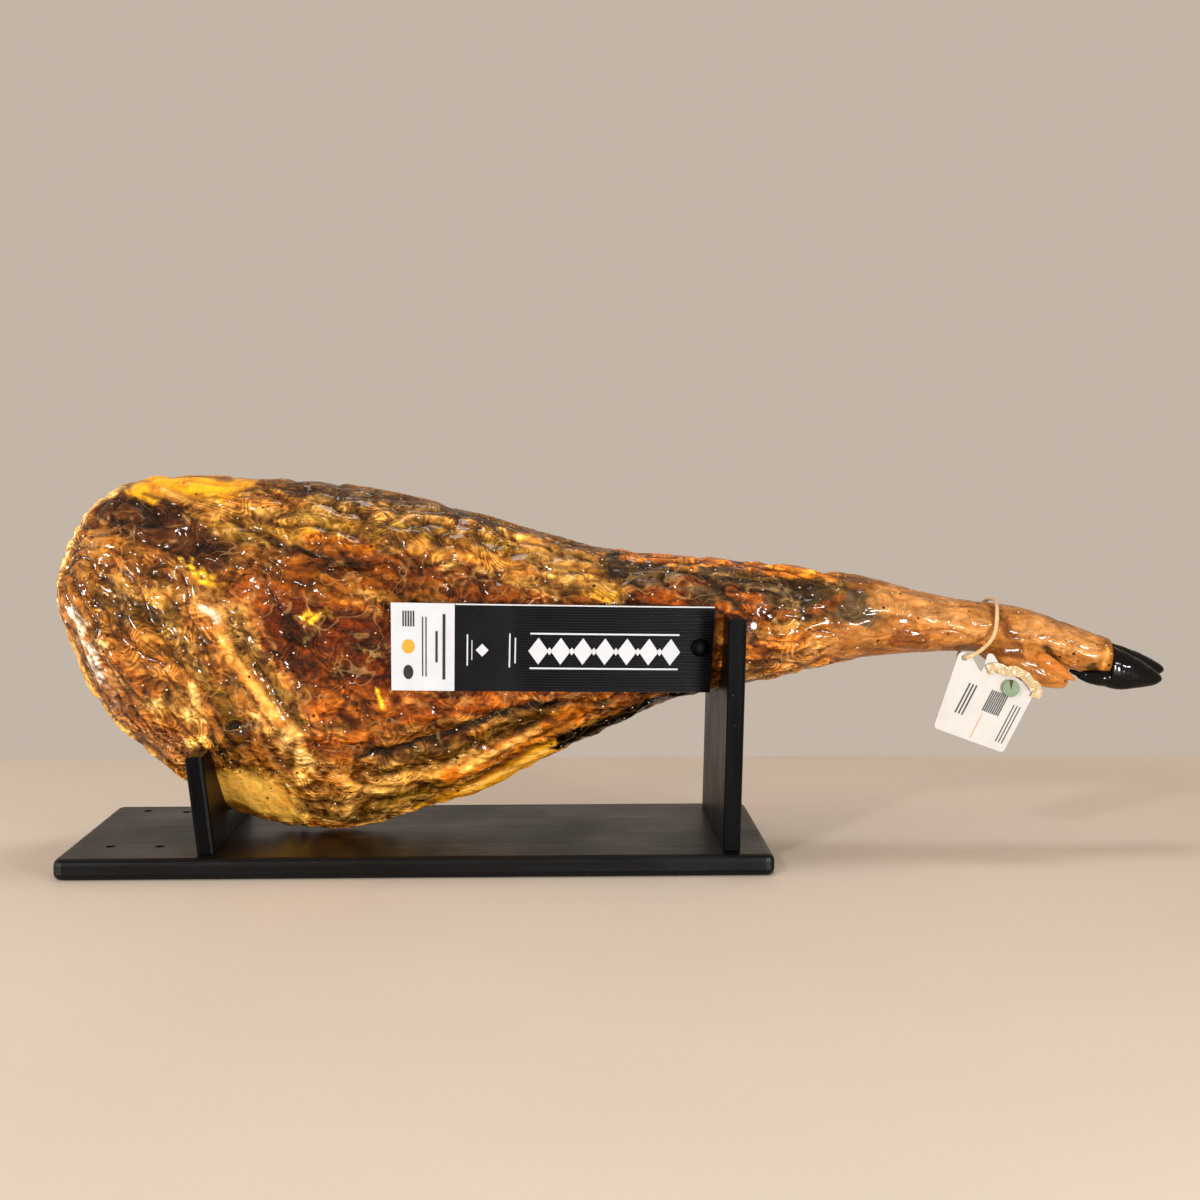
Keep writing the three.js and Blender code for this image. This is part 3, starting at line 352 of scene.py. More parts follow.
# Strokes of the far side, which the photo doesn't show
FAR_STROKES = [
    ("rind", 80, 0.9, [(-230, 180), (-60, 150), (120, 150)]),
    ("rind_dark", 26, 0.7, [(-210, 226), (-120, 236), (0, 226), (110, 206)]),
    ("olive", 18, 0.6, [(-180, 200), (-90, 190), (10, 180)]),
    ("fat", 22, 0.75, [(-236, 196), (-222, 150), (-190, 110), (-150, 84)]),
    ("fat_pale", 18, 0.7, [(-190, 90), (-130, 56), (-60, 44)]),
    ("lard", 13, 0.8, [(-128, 74), (-70, 70), (-10, 84), (60, 104)]),
    ("olive_light", 16, 0.65, [(-40, 128), (60, 134), (130, 146)]),
    ("lean_warm", 15, 0.75, [(-150, 168), (-96, 150), (-40, 152), (30, 170)]),
    ("hip", 10, 0.8, [(-176, 190), (-150, 172), (-112, 176), (-84, 168)]),
    ("fat_orange", 9, 0.8, [(-96, 214), (-40, 208), (30, 204), (96, 194)]),
    ("tendon", 5, 0.8, [(-208, 214), (-170, 222), (-120, 214), (-70, 222)]),
    ("fat_brown", 5, 0.8, [(-204, 132), (-170, 104), (-130, 92), (-84, 90)]),
    ("grey", 9, 0.8, [(40, 226), (90, 214), (150, 206), (214, 198)]),
    ("skin", 30, 0.8, [(160, 170), (260, 165), (340, 170)]),
    ("lean_orange", 9, 0.6, [(180, 186), (250, 180), (310, 176)]),
    ("rind_dark", 4, 0.7, [(128, 214), (150, 180), (142, 140), (160, 112)]),
    ("pit_shade", 1.8, 0.8, [(-60, 118), (0, 122), (56, 116), (110, 128)]),
]

# Where the surface is smooth fat or skin, as half width, strength and path
SMOOTH_PATCHES = [
    (19, 1.0, [(-160, 48), (-132, 48), (-106, 36)]),
    (9, 0.85, [(-202, 271), (-182, 271), (-158, 269), (-140, 272), (-126, 277)]),
    (6, 0.8, [(0, 32), (57, 58), (129, 97), (146, 104)]),
    (7, 0.5, [(18, 60), (72, 84), (118, 112)]),
    (42, 0.75, [(336, 172), (420, 165), (505, 142)]),
    (4.6, 0.55, [(-150, 188), (-140, 180), (-126, 147), (-94, 104)]),
]

# Relief of the ham, as height, half width and a path in X and Z
NEAR_RELIEF = [
    (3.6, 5.5, [(-149, 188), (-137, 172), (-126, 147), (-112, 128), (-93, 100), (-81, 68)]),
    (2.8, 8.5, [(-84, 238), (-62, 230), (-36, 227)]),
    (2.2, 11, [(318, 186), (346, 184)]),
    (1.4, 7, [(356, 176), (392, 172), (430, 168)]),
    (-5, 4, [(-42, 77), (-5, 86), (34, 99), (79, 115)]),
    (-2.4, 6, [(-14, 55), (15, 69), (58, 90), (100, 108)]),
    (-4, 4.2, [(-83, 231), (-61, 218), (-40, 215.5), (-12, 221)]),
    (-2, 6, [(-12, 221), (30, 217), (86, 204), (111, 190)]),
    (-1.4, 6, [(-120, 257), (-13, 247), (79, 226), (122, 213)]),
    (-4.6, 11, [(-204, 268), (-179, 244), (-148, 221)]),
    (-3, 7, [(-194, 167), (-165, 140), (-149, 117)]),
    (-2.6, 6, [(-224, 125), (-189, 113), (-156, 103), (-128, 91)]),
    (-2, 7, [(342, 172), (362, 162), (396, 158)]),
    (1.6, 3, [(-116, 182), (-104, 166), (-95, 151), (-88, 135), (-76, 113), (-70, 98)]),
    (-1.6, 3.5, [(-110, 178), (-98, 160), (-89, 144), (-80, 126), (-70, 108)]),
    (1.8, 3, [(-158, 130), (-156, 122), (-159, 113)]),
    (1.2, 5, [(-192, 118), (-172, 112), (-154, 109)]),
    (1.5, 2.6, [(-178, 182), (-162, 181), (-150, 172)]),
    (-1.6, 3, [(-176, 176), (-160, 174), (-148, 163)]),
    (1.2, 3, [(-98, 172), (-80, 175), (-60, 179), (-46, 183)]),
    (-1.6, 3.5, [(-96, 167), (-80, 170), (-60, 173), (-44, 176)]),
    (1.3, 3, [(-54, 124), (-40, 134), (-20, 142)]),
    (-1.5, 3, [(-52, 119), (-38, 128), (-18, 136)]),
    (1.2, 3.5, [(-124, 186), (-108, 200), (-92, 214)]),
    (-1.2, 3.5, [(-116, 182), (-100, 196), (-84, 208)]),
    (1.2, 4, [(28, 64), (60, 80), (96, 102)]),
    (-1.4, 2.6, [(4, 40), (34, 54), (60, 67), (92, 86)]),
    (1.3, 6, [(0, 32), (57, 58), (129, 97)]),
    (1.6, 9, [(-74, 34), (-52, 26)]),
    (1.4, 3, [(-166, 219), (-155, 211), (-145, 206), (-136, 201)]),
    (1.4, 3, [(-80, 179), (-70, 182), (-60, 182)]),
    (2.4, 7, [(-240, 178), (-216, 150), (-192, 124), (-174, 106)]),
    (-2.4, 5, [(-228, 186), (-204, 158), (-182, 132), (-166, 114)]),
    (2.6, 7, [(-212, 190), (-190, 164), (-168, 138), (-154, 120)]),
    (2.2, 6, [(-196, 196), (-172, 178), (-152, 152), (-140, 132)]),
    (1.8, 5, [(-234, 234), (-214, 226), (-196, 214), (-184, 200)]),
    (-2, 4, [(-226, 246), (-204, 236), (-184, 222), (-170, 208)]),
    (1.4, 8, [(-40, 30), (-24, 34)]),
    (-1.6, 3.5, [(461, 154), (468, 138)]),
    (0.9, 4, [(400, 180), (404, 166), (400, 154)]),
    (0.8, 4, [(440, 176), (446, 164), (440, 152)]),
]
NEAR_HOLLOWS = [
    (-50, 148, 48, 34, -4), (-129, 102, 6, 5, -5), (-228, 168, 26, 30, -2), (-172, 246, 26, 10, 2.4),
]
FAT_STEP = {"path": [(-157, 70), (-131, 73), (-103, 68), (-94, 42)], "drop": 3.6, "fade": 34, "run": 2.2}
# A feature of the relief fades out over this share of its path before each end and within it
PATH_TAPER = {"before": 0.08, "within": 0.18}
FAR_RELIEF = [
    (-2.6, 9, [(-236, 196), (-190, 226), (-120, 238), (-40, 226)]),
    (-2.4, 9, [(-226, 132), (-170, 108), (-110, 84), (-60, 62)]),
    (-1.8, 8, [(-30, 196), (50, 186), (120, 172), (196, 160)]),
    (2, 7, [(128, 214), (150, 180), (142, 140), (160, 112)]),
]
FIBRES = {
    "near": 0.7, "far": 0.4, "length_x": 38, "length_z": 9, "cross_x": 21, "cross_z": 12.5, "turn": 1.3,
    "cross_share": 0.8,
}

# Where the near and the far relief fade over the top and the underside, by Y, where the smooth patches
# go all round and where the relief ends, by X, how far a smooth place loses the fine relief, and how
# deep the whole relief is sunk
RELIEF_SIDES = {"near": (2, -16), "far": (-2, 16)}
SMOOTH_ROUND = (300, 350)
SMOOTHING = 0.85
BUTT_END_FADE = (-272, -252)
CUT_END_FADE = 10
RELIEF_SUNK = 0.7

# Fine relief. The points are first moved by noises, of a cell size, three seeds and a reach. The folds
# follow two slants, given in degrees, with a noise of its own cell sizes and seed for each, and the
# steeper one holds towards the butt.
WANDER = (26, (3, 4, 5), 8)
RIPPLE = (11, (13, 14, 15), 2.5)
LUMPS = (38, 1)
FOLDS = {"flat": (10, (50, 17, 12), 8), "steep": (54, (52, 17, 12), 16), "height": 2.4}
STEEP_PLACE = {"x": (-50, -120), "z": (232, 196)}
PLEATS = {"cells": (20, 11, 10), "seed": 9, "height": 0.7}
CREASE_SLOPE = 2.4
CREASE_MIDDLE = 0.6
STREAKS = {"wander": 0.7, "cells": (40, 8, 8), "seed": 6, "height": 0.6}
THREADS = {"cells": (20, 11, 11), "seed": 10, "thin": 0.12, "power": 1.2, "height": 0.5}
THREAD_PLACE = {"cell": 26, "seed": 11, "edge": (0, 0.4)}
# Half thickness of the leg in the space where patterns run along it, and the least that divides
LEG_SPACE = {"thick": 62.0, "thinnest": 12}

# Painting. A stroke's edge is frayed by two noises for X and two for Z, each of a cell size, a reach
# and a seed, and is frayed fully from a half width of "full" on.
PAINT_SIDES = {"near": (4, -14), "far": (-6, 14)}
FRAY = (((16, 6, 21), (6, 3, 22)), ((13, 5, 23), (5, 3, 24)))
STROKE_EDGE = {"full": 9, "soft": 0.9, "wide": 6}
PATCH_EDGE = (1.3, 0.6)
UNDERSIDE = {"down": (0.55, 0.9), "x": (330, 250), "cover": 0.8, "cell": 22, "seed": 27, "edge": (-0.4, 0.5)}
TOP_WAVE = {"reach": 12, "length": 13}
TINT = {
    "streaks": ((60, 7, 7), 25), "blotches": (19, 26), "blotch_share": 0.7, "edge": (-0.5, 0.5),
    "warm": (1.16, 1.0, 0.72), "cool": (0.76, 0.8, 0.92), "smooth": 0.15, "rough": 0.6,
}
# Painted shade in the creases of folds and pleats and painted highlight on their crests: the factor in the
# crease and on the crest, and the share that is crease
FOLD_SHADE = (0.24, 1.14, 0.55)
PLEAT_SHADE = (0.5, 1.08, 0.6)
# Painted shade and highlight by the height of the fine relief, the darkest painted shade, and powers that
# make the shade deepest in blue
FINE_SHADE = {"share": 0.16, "limit": 1.4}
DARKEST = 0.12
SHADE_POWERS = (0.85, 1.0, 1.15)
# Painted highlight: raised threads are painted in pale fat colours
THREAD_HIGHLIGHTS = {"cell": 12, "seed": 28, "edge": (-0.3, 0.3), "cover": 0.3}

# Patterns in the meat's material: scale, detail and distortion of each noise, and their weights in the
# colour's exponent and in the bump, in millimetres
MEAT_NOISES = {
    "swirls": (44, 1.5, 1.8), "curls": (105, 1.5, 1.5), "fine": (270, 1, 0.6), "fibres": (1, 1.5, 1.2),
    "patches": (24, 2, 0.6), "rings": (40, 0, 0.6), "threads": (40, 0.5, 1.2), "cracks": (48, 0.5, 1.2),
    "gloss": (60, 2, 0),
}
MEAT_TURNED = ((1, 1.2, 1.2), (0.4, 0.2, 0.3))
MEAT_FIBRES = ((34, 120, 120), (0, 0.17, 0))
MEAT_TONE = {"swirls": 2.4, "curls": 2.4, "fine": 0.5, "fibres": 1.3, "rings": 0.5}
MEAT_TONE_MIDDLE = 3.3
MEAT_TONE_POWERS = (0.85, 1.0, 1.3)
MEAT_FOLDS = {"swirls": 5.5, "curls": 3.6, "fibres": 1.8, "rings": 0.12, "threads": 0.5, "cracks": -0.5}
MEAT_GRAIN = {"folds": 1.0, "fine": 0.4, "pores": -0.6, "glints": 0.5}
# Scale of the pores, and of the white dots painted as glints
PORE_SCALE, GLINT_SCALE = 112, 165
# The part of each pattern that shows, how far it covers the colour, and what a smooth place keeps
MEAT_EDGES = {
    "rings": (0.47, 0.54), "threads": (0.52, 0.44), "cracks": (0.5, 0.42), "pore_place": (0.44, 0.48),
    "pores": (0.15, 0.1), "glints": (0.14, 0.1), "glint_place": (0.56, 0.58), "gloss": (0.35, 0.65),
}
MEAT_LINES = {"threads": 0.026, "cracks": 0.04, "core": 0.4}
MEAT_COVER = {"cracks": 0.6, "threads": 0.35, "pores": 0.95, "glints": 0.85}
MEAT_SMOOTH = {"rough": 0.8, "from": (0.2, 1.0), "tone": (0.2, 1.0), "height": (0.25, 1.0)}
# Cracks are darkened as painted shade, and threads made paler as painted highlight
CRACK_SHADE, THREAD_HIGHLIGHT_GAIN, THREAD_MIX = 0.25, 2.2, 0.5
MEAT_GLOSS = (-0.1, 0.14)
MEAT_SHINE = {"Specular IOR Level": 0.1, "Specular Tint": (1.0, 0.78, 0.5, 1.0), "Coat Roughness": 0.06}

# Patterns of the other materials: scale, detail and distortion of the noises, the part of a noise that
# shows, how far the roughness goes below and above its middle, and depth and strength of the bump
NOISE_ROUGHNESS = 0.55
MOTTLE_EDGE = (0.3, 0.7)
WOOD = {
    "across": 260.0, "along": 9.0, "grain": (1, 4, 0.4), "grain_edge": (0.35, 0.65), "broad": (14, 3),
    "specks": (420, 1), "speck_edge": (0.74, 0.8), "speck_cover": 0.35, "dark": 0.55,
    "gloss": (-0.06, 0.08), "grain_gloss": (-0.05, 0.05), "bump": (0.0003, 0.35),
    "shine_level": 0.18, "shine_upright": 0.05,
}
CLAW_HORN = {
    "scale": (30.0, 300.0, 300.0), "streaks": (1, 3, 1.0), "streak_edge": (0.35, 0.68),
    "patches": (90, 3, 1.0), "patch_edge": (0.45, 0.75), "patch_cover": (0, 0.5), "patch_height": 1.4,
    "gloss": (0.12, 0.3), "bump": (0.001, 0.6),
}
HORN_SHINE = {"Specular IOR Level": 0.03, "Coat Weight": 0.34, "Coat Roughness": 0.04}
CARD = {
    "mottle": (70, 3), "fibre": (900, 2), "dark": 0.92, "roughness": 0.5, "gloss": (-0.05, 0.07),
    "relief": 0.00008, "bump": 0.5, "shine": 0.15,
}
RIBBED = {"dark": 0.8, "rib_edge": (-0.2, 1.0), "gloss": (0.3, 0.4), "shine": 0.08}
FILM = {"cloud": (160, 3, 0.8), "dark": 0.8, "gloss": (-0.06, 0.08), "bump": (0.0004, 0.5)}
FILM_SHINE = {"Coat Weight": 0.3, "Coat Roughness": 0.15}
FLOOR = {"cloud": (3, 3), "dark": 0.95, "roughness": 0.6}

# Colours that aren't among the settings
HOOF, HOOF_TIP = srgb(4, 4, 4), srgb(9, 8, 8)
DEWCLAW, DEWCLAW_TIP = srgb(176, 98, 34), srgb(206, 132, 58)
WORN_WOOD = srgb(96, 92, 86)
LABEL_BLACK, LABEL_ORANGE = srgb(40, 40, 42), srgb(238, 150, 50)
STUD_BLACK = srgb(5, 5, 6)
# The slot colour is a painted shadow in the seal's slot
SEAL_GREEN, SLOT_SHADOW_BROWN = srgb(116, 134, 106), srgb(74, 52, 30)
STRAP_CREAM = srgb(190, 162, 118)
TAG_INK, TAG_ORANGE = srgb(70, 68, 66), srgb(214, 120, 80)

# Studio lights: name, place in metres, size in metres and share of the main light's power
STUDIO_LIGHTS = [
    ("key", (-0.7, -1.5, 1.0), 0.18, 0.5),
    ("fill", (1.2, -1.5, 0.5), 0.14, 0.3),
    ("left", (-1.5, -0.2, 0.3), 0.15, 0.35),
    ("low left", (-1.1, -1.15, 0.06), 0.2, 0.7),
    ("low right", (0.75, -1.2, 0.06), 0.2, 0.75),
    ("top", (0.2, 0.2, 1.6), 0.4, 0.25),
]
# The point that the lights face, in metres, and the strength of the light from all round
LIGHTS_AIM = (0.1, 0, 0.15)
SURROUNDINGS_STRENGTH = 0.9
# The floor's left, right, front and back edges in metres
FLOOR_EDGES = (-4.0, 4.0, -4.0, 0.402)
CAMERA = {"place": (0.09, -1.276, 0.286), "tilt": 85.52, "turn": -1.82, "lens": 51.84, "sensor": 36}


# Numbers

TINY = 1e-9
CURVE_SAMPLES = 60


def smooth_step(low, high, value):
    """0 at low, 1 at high, and 3t² - 2t³ between them."""
    t = np.clip((value - low) / (high - low), 0, 1)
    return t * t * (3 - 2 * t)


def blend(low, high, share):
    """Low where the share is 0 and high where it is 1."""
    return low + (high - low) * share


def signed_power(value, power):
    """The value's size raised to the power, with the value's sign."""
    return np.sign(value) * np.abs(value) ** power


def unit(vectors):
    """Each vector divided by its length."""
    length = np.linalg.norm(vectors, axis=-1, keepdims=True)
    return vectors / np.maximum(length, TINY)


def catmull_rom(p0, p1, p2, p3, t):
    """The curve through p1 and p2 whose slope at each is half the step between its neighbours."""
    return (2 * p1 + (p2 - p0) * t + (2 * p0 - 5 * p1 + 4 * p2 - p3) * t ** 2
            + (p3 - p0 + 3 * (p1 - p2)) * t ** 3) / 2


def curve_points(path, count, closed=False):
    """Points evenly spaced by length on the Catmull-Rom curve through the path."""
    points = np.array(path, float)
    if closed:
        points = np.vstack([points[-1], points, points[:2]])
    else:
        points = np.vstack([points[0], points, points[-1]])
    spans = len(points) - 3
    dense = np.linspace(0, spans, spans * CURVE_SAMPLES + 1)
    index = np.minimum(dense.astype(int), spans - 1)
    p0, p1, p2, p3 = (points[index + k] for k in range(4))
    curve = catmull_rom(p0, p1, p2, p3, (dense - index)[:, None])
    length = np.concatenate([[0], np.cumsum(np.linalg.norm(np.diff(curve, axis=0), axis=1))])
    wanted = np.linspace(0, length[-1], count, endpoint=not closed)
    return np.stack([np.interp(wanted, length, axis) for axis in curve.T], axis=1)


NOISE_SIZE = 256
NOISE_RANDOM = np.random.default_rng(20)
NOISE_TABLE = np.tile(NOISE_RANDOM.permutation(NOISE_SIZE), 3)
NOISE_SLOPES = unit(NOISE_RANDOM.normal(size=(NOISE_SIZE, 3)))
NOISE_SHIFT = 19.7
NOISE_GAIN = 1.6


def noise(points, cell, seed):
    """Gradient noise, about -1 to 1. Each corner of a lattice with the given cell size (one number,
    or one for each axis) has a random slope. A point takes the ramps of its cell's eight corners,
    blended by 6t⁵ - 15t⁴ + 10t³."""
    place = points / np.asarray(cell, float) + NOISE_SHIFT * seed
    corner = np.floor(place).astype(int)
    local = place - corner
    ease = local ** 3 * (local * (local * 6 - 15) + 10)
    total = np.zeros(points.shape[:-1])
    for step in itertools.product((0, 1), repeat=3):
        i, j, k = ((corner[..., axis] + step[axis]) % NOISE_SIZE for axis in range(3))
        slope = NOISE_SLOPES[NOISE_TABLE[NOISE_TABLE[NOISE_TABLE[i] + j] + k]]
        ramp = np.sum(slope * (local - step), axis=-1)
        weight = np.prod(np.where(step, ease, 1 - ease), axis=-1)
        total += weight * ramp
    return total * NOISE_GAIN


def aslant(points, degrees):
    """The points turned about Y, so that the first axis runs down to the right at the angle."""
    cosine, sine = math.cos(math.radians(degrees)), math.sin(math.radians(degrees))
    x, y, z = (points[..., axis] for axis in range(3))
    return np.stack([x * cosine - z * sine, y, x * sine + z * cosine], axis=-1)


def veins(points, cells, seed, thin, power):
    """1 along the lines where the noise passes zero, falling to 0 at the noise value thin."""
    return 1 - np.clip(np.abs(noise(points, cells, seed)) / thin, 0, 1) ** power


def shifts(points, cell, seeds, reach):
    """How far three noises, one for each axis, move the points."""
    return np.stack([noise(points, cell, seed) for seed in seeds], axis=-1) * reach


# Sections and surfaces

def station_table(stations):
    """Rows of X, centre, rise and half depth, with one mirrored row before and one after."""
    x, top, bottom, half = np.array(stations, float).T
    table = np.stack([x, (top + bottom) / 2, (top - bottom) / 2, half], axis=1)
    mirror = np.array([1, 1, -1, -1])
    return np.vstack([table[1] * mirror, table, table[-2] * mirror])


def section_at(table, t):
    """X, centre, rise and half depth at station parameter t, by a curve through four stations."""
    last = len(table) - 3
    index = np.minimum(np.floor(t).astype(int), last - 1)
    p0, p1, p2, p3 = (table[index + k] for k in range(4))
    return catmull_rom(p0, p1, p2, p3, (t - index)[..., None])


def section_points(section, angle):
    """Superellipse section. Angle 0 is the top and a quarter turn the near side. Up and side are the
    cosine and sine to 2 over the section's power, and the half depth draws in by up² times the belly."""
    up = signed_power(np.cos(angle), 2 / SECTION_POWER)
    side = signed_power(np.sin(angle), 2 / SECTION_POWER)
    x, centre, rise, half = (section[..., None, key] for key in range(4))
    belly = blend(BELLY["butt"], BELLY["shank"], smooth_step(BELLY["from"], BELLY["to"], x))
    draw_in = np.where(up < 0, belly, TOP_DRAW_IN)
    y = -half * (1 - draw_in * up * up) * side
    z = centre + rise * up
    return np.stack([np.broadcast_to(x, z.shape), y, z], axis=-1)


def grid_normals(points):
    """Unit normals of a grid closed round its columns: the step round crossed with the step along."""
    around = np.roll(points, -1, axis=1) - np.roll(points, 1, axis=1)
    along = np.gradient(points, axis=0)
    return unit(np.cross(around, along))


def grid_faces(rows, sides, closed=True):
    """Four-sided faces between the neighbours of a grid, column by column within each row."""
    row = np.arange(rows - 1)[:, None]
    side = np.arange(sides if closed else sides - 1)[None, :]
    after = (side + 1) % sides
    corners = [row * sides + side, row * sides + after, (row + 1) * sides + after, (row + 1) * sides + side]
    return np.stack(np.broadcast_arrays(*corners), axis=-1).reshape(-1, 4)


def closed_skin(grid, first, last):
    """Vertices and faces of a grid closed round its columns and drawn together to a first point
    before row 0 and a last point after the last row."""
    rows, sides = grid.shape[:2]
    vertices = np.vstack([grid.reshape(-1, 3), first, last])
    side = np.arange(sides)
    after = (side + 1) % sides
    tail = (rows - 1) * sides
    start = np.stack([np.full(sides, rows * sides), after, side], axis=1)
    end = np.stack([np.full(sides, rows * sides + 1), tail + side, tail + after], axis=1)
    return vertices, grid_faces(rows, sides).tolist() + start.tolist() + end.tolist()


def slab(front, back):
    """Vertices and faces of a plate: a front grid, a back grid of the same shape, and a rim of faces
    from one to the other along the four edges. The front faces away from the back when its columns
    run to the right and its rows upwards."""
    rows, sides = front.shape[:2]
    count = rows * sides
    number = np.arange(count).reshape(rows, sides)
    edge = np.concatenate([number[0, :-1], number[:-1, -1], number[-1, :0:-1], number[:0:-1, 0]])
    after = np.roll(edge, -1)
    faces = grid_faces(rows, sides, closed=False)
    rim = np.stack([edge, edge + count, after + count, after], axis=1)
    vertices = np.vstack([front.reshape(-1, 3), back.reshape(-1, 3)])
    return vertices, faces.tolist() + (faces[:, ::-1] + count).tolist() + rim.tolist()


def tube(path, radius, sides, flat):
    """A grid of ovals square to a closed path. Each starts from the direction away from the path's
    middle, so that the tube doesn't twist. flat is the oval's height over its width."""
    along = unit(np.roll(path, -1, axis=0) - np.roll(path, 1, axis=0))
    outwards = path - path.mean(axis=0)
    outwards = unit(outwards - along * np.sum(outwards * along, axis=1, keepdims=True))
    across = np.cross(along, outwards)
    angle = np.linspace(0, 2 * math.pi, sides, endpoint=False)[None, :, None]
    ring = flat * outwards[:, None] * np.cos(angle) + across[:, None] * np.sin(angle)
    return path[:, None] + radius * ring


def pod_grid(form, fullness, rings, sides):
    """Ovals in a row along a straight line, their size given by fullness at each share of the way,
    close together at both ends."""
    start, end = np.array(form["from"], float), np.array(form["to"], float)
    along = unit(end - start)
    across = np.array([0, -1.0, 0])
    across = unit(across - along * across.dot(along))
    over = np.cross(across, along)
    share = (1 - np.cos(math.pi * np.arange(1, rings) / rings)) / 2
    angle = np.linspace(0, 2 * math.pi, sides, endpoint=False)
    size = fullness(share)[:, None, None]
    middle = start + share[:, None, None] * (end - start)
    ring = (form["wide"] * np.sin(angle)[None, :, None] * across
            + form["high"] * np.cos(angle)[None, :, None] * over)
    return middle + size * ring, start, end


def bag_fullness(share):
    """The root of the sine of half a turn, leaning towards the end."""
    return np.sqrt(np.sin(math.pi * share ** BAG_LEAN))


def horn_fullness(share):
    """A quarter of a circle at the root, then a taper to a point."""
    root = np.sqrt(np.clip(1 - (1 - share / HORN["root"]) ** 2, 0, 1))
    beyond = np.clip((share - HORN["root"]) / (1 - HORN["root"]), 0, 1)
    return np.where(share < HORN["root"], root, (1 - beyond ** HORN["taper"]) ** HORN["tip"])


# Ham

def path_distance(path, x, z):
    """Distance to a path in X and Z, the side of it (1 left, -1 right) and the share of the way."""
    nearest = np.full(x.shape, np.inf)
    side = np.ones(x.shape)
    reach = np.ones(x.shape)
    spans = len(path) - 1
    for index, ((x0, z0), (x1, z1)) in enumerate(zip(path, path[1:])):
        dx, dz = x1 - x0, z1 - z0
        share = np.clip(((x - x0) * dx + (z - z0) * dz) / (dx * dx + dz * dz), 0, 1)
        away = np.hypot(x - x0 - share * dx, z - z0 - share * dz)
        closer = away < nearest
        nearest = np.where(closer, away, nearest)
        side = np.where(closer, np.sign(dx * (z - z0) - dz * (x - x0)), side)
        reach = np.where(closer, (index + share) / spans, reach)
    return nearest, side, reach


def path_relief(features, x, z):
    """Sum over the features of height · exp(-(distance / width)²), tapered at both ends of the path."""
    total = np.zeros(x.shape)
    for height, width, path in features:
        distance, _, reach = path_distance(path, x, z)
        before, within = PATH_TAPER["before"], PATH_TAPER["within"]
        taper = smooth_step(-before, within, reach) * smooth_step(1 + before, 1 - within, reach)
        total += height * np.exp(-(distance / width) ** 2) * taper
    return total


def near_relief(x, z):
    """Ridges, grooves and hollows of the near side, and the step down to the smooth fat."""
    total = path_relief(NEAR_RELIEF, x, z)
    for x0, z0, reach_x, reach_z, height in NEAR_HOLLOWS:
        total += height * np.exp(-((x - x0) / reach_x) ** 2 - ((z - z0) / reach_z) ** 2)
    distance, side, _ = path_distance(FAT_STEP["path"], x, z)
    below = np.where(side < 0, distance, 0)
    step = smooth_step(0, FAT_STEP["run"], below) * smooth_step(FAT_STEP["fade"], 0, below)
    return total - FAT_STEP["drop"] * step


def fibre_relief(x, z):
    """Two long waves that run aslant along the leg."""
    along = np.sin(x / FIBRES["length_x"] + z / FIBRES["length_z"])
    across = np.sin(x / FIBRES["cross_x"] - z / FIBRES["cross_z"] + FIBRES["turn"])
    return along + FIBRES["cross_share"] * across


def clear_of_boards(x, z):
    """0 where the surface lies in a board's notch, 1 away from it."""
    share = np.ones(x.shape)
    for notch in NOTCHES:
        beside = smooth_step(*NOTCH_FADE["beside"], np.abs(x - notch["x"]))
        share *= np.maximum(beside, smooth_step(*NOTCH_FADE["above"], z - notch["top"]))
    return share


def with_skin_bags(points, section):
    """Each section, seen from its centre, reaches out to the farther of its own outline and the
    outline of each bag, with a rounded inner corner where they meet."""
    centre = np.stack([section[:, 0], np.zeros(len(section)), section[:, 1]], axis=1)[:, None]
    offset = points - centre
    radius = np.linalg.norm(offset[..., 1:], axis=-1)
    way = offset[..., 1:] / np.maximum(radius, TINY)[..., None]
    for bag in SKIN_BAGS:
        start, end = np.array(bag["from"], float), np.array(bag["to"], float)
        share = np.clip((points[..., 0] - start[0]) / (end[0] - start[0]), 0, 1)
        fullness = bag_fullness(share) + BAG_LEAST
        slant = np.hypot(1, (end[2] - start[2]) / (end[0] - start[0]))
        axes = np.stack([bag["wide"] * fullness, bag["high"] * fullness * slant], axis=-1)
        middle = (start + share[..., None] * (end - start))[..., 1:]
        begin = (centre[..., 1:] - middle) / axes
        step = way / axes
        a = np.sum(step * step, axis=-1)
        b = 2 * np.sum(begin * step, axis=-1)
        c = np.sum(begin * begin, axis=-1) - 1
        inside = b * b - 4 * a * c
        reach = np.where(inside > 0, (np.sqrt(np.maximum(inside, 0)) - b) / (2 * a), 0)
        mix = np.clip(0.5 + 0.5 * (reach - radius) / BAG_BLEND, 0, 1)
        radius = blend(radius, reach, mix) + BAG_BLEND * mix * (1 - mix)
    joined = points.copy()
    joined[..., 1:] = centre[..., 1:] + radius[..., None] * way
    return joined


def ham_rows():
    """X, centre, rise and half depth of each row. The rows are spread evenly by the length of the
    outline over the wanted spacing, up to the cut at the hoof."""
    table = station_table(HAM_STATIONS)
    dense = np.linspace(0, len(HAM_STATIONS) - 1, ROW_SPACING["samples"])
    x, _, rise, _ = section_at(table, dense).T
    spacing = blend(ROW_SPACING["butt"], ROW_SPACING["shank"],
                    smooth_step(ROW_SPACING["from"], ROW_SPACING["to"], x))
    steps = np.hypot(np.diff(x), np.diff(rise) * ROW_SPACING["rise_share"]) / spacing[1:]
    length = np.concatenate([[0], np.cumsum(steps)])
    before_cut = np.argmax(x > CUT_PLANE["x"])
    wanted = np.linspace(0, length[before_cut], HAM_ROWS + 1)[1:]
    return section_at(table, np.interp(wanted, length, dense))


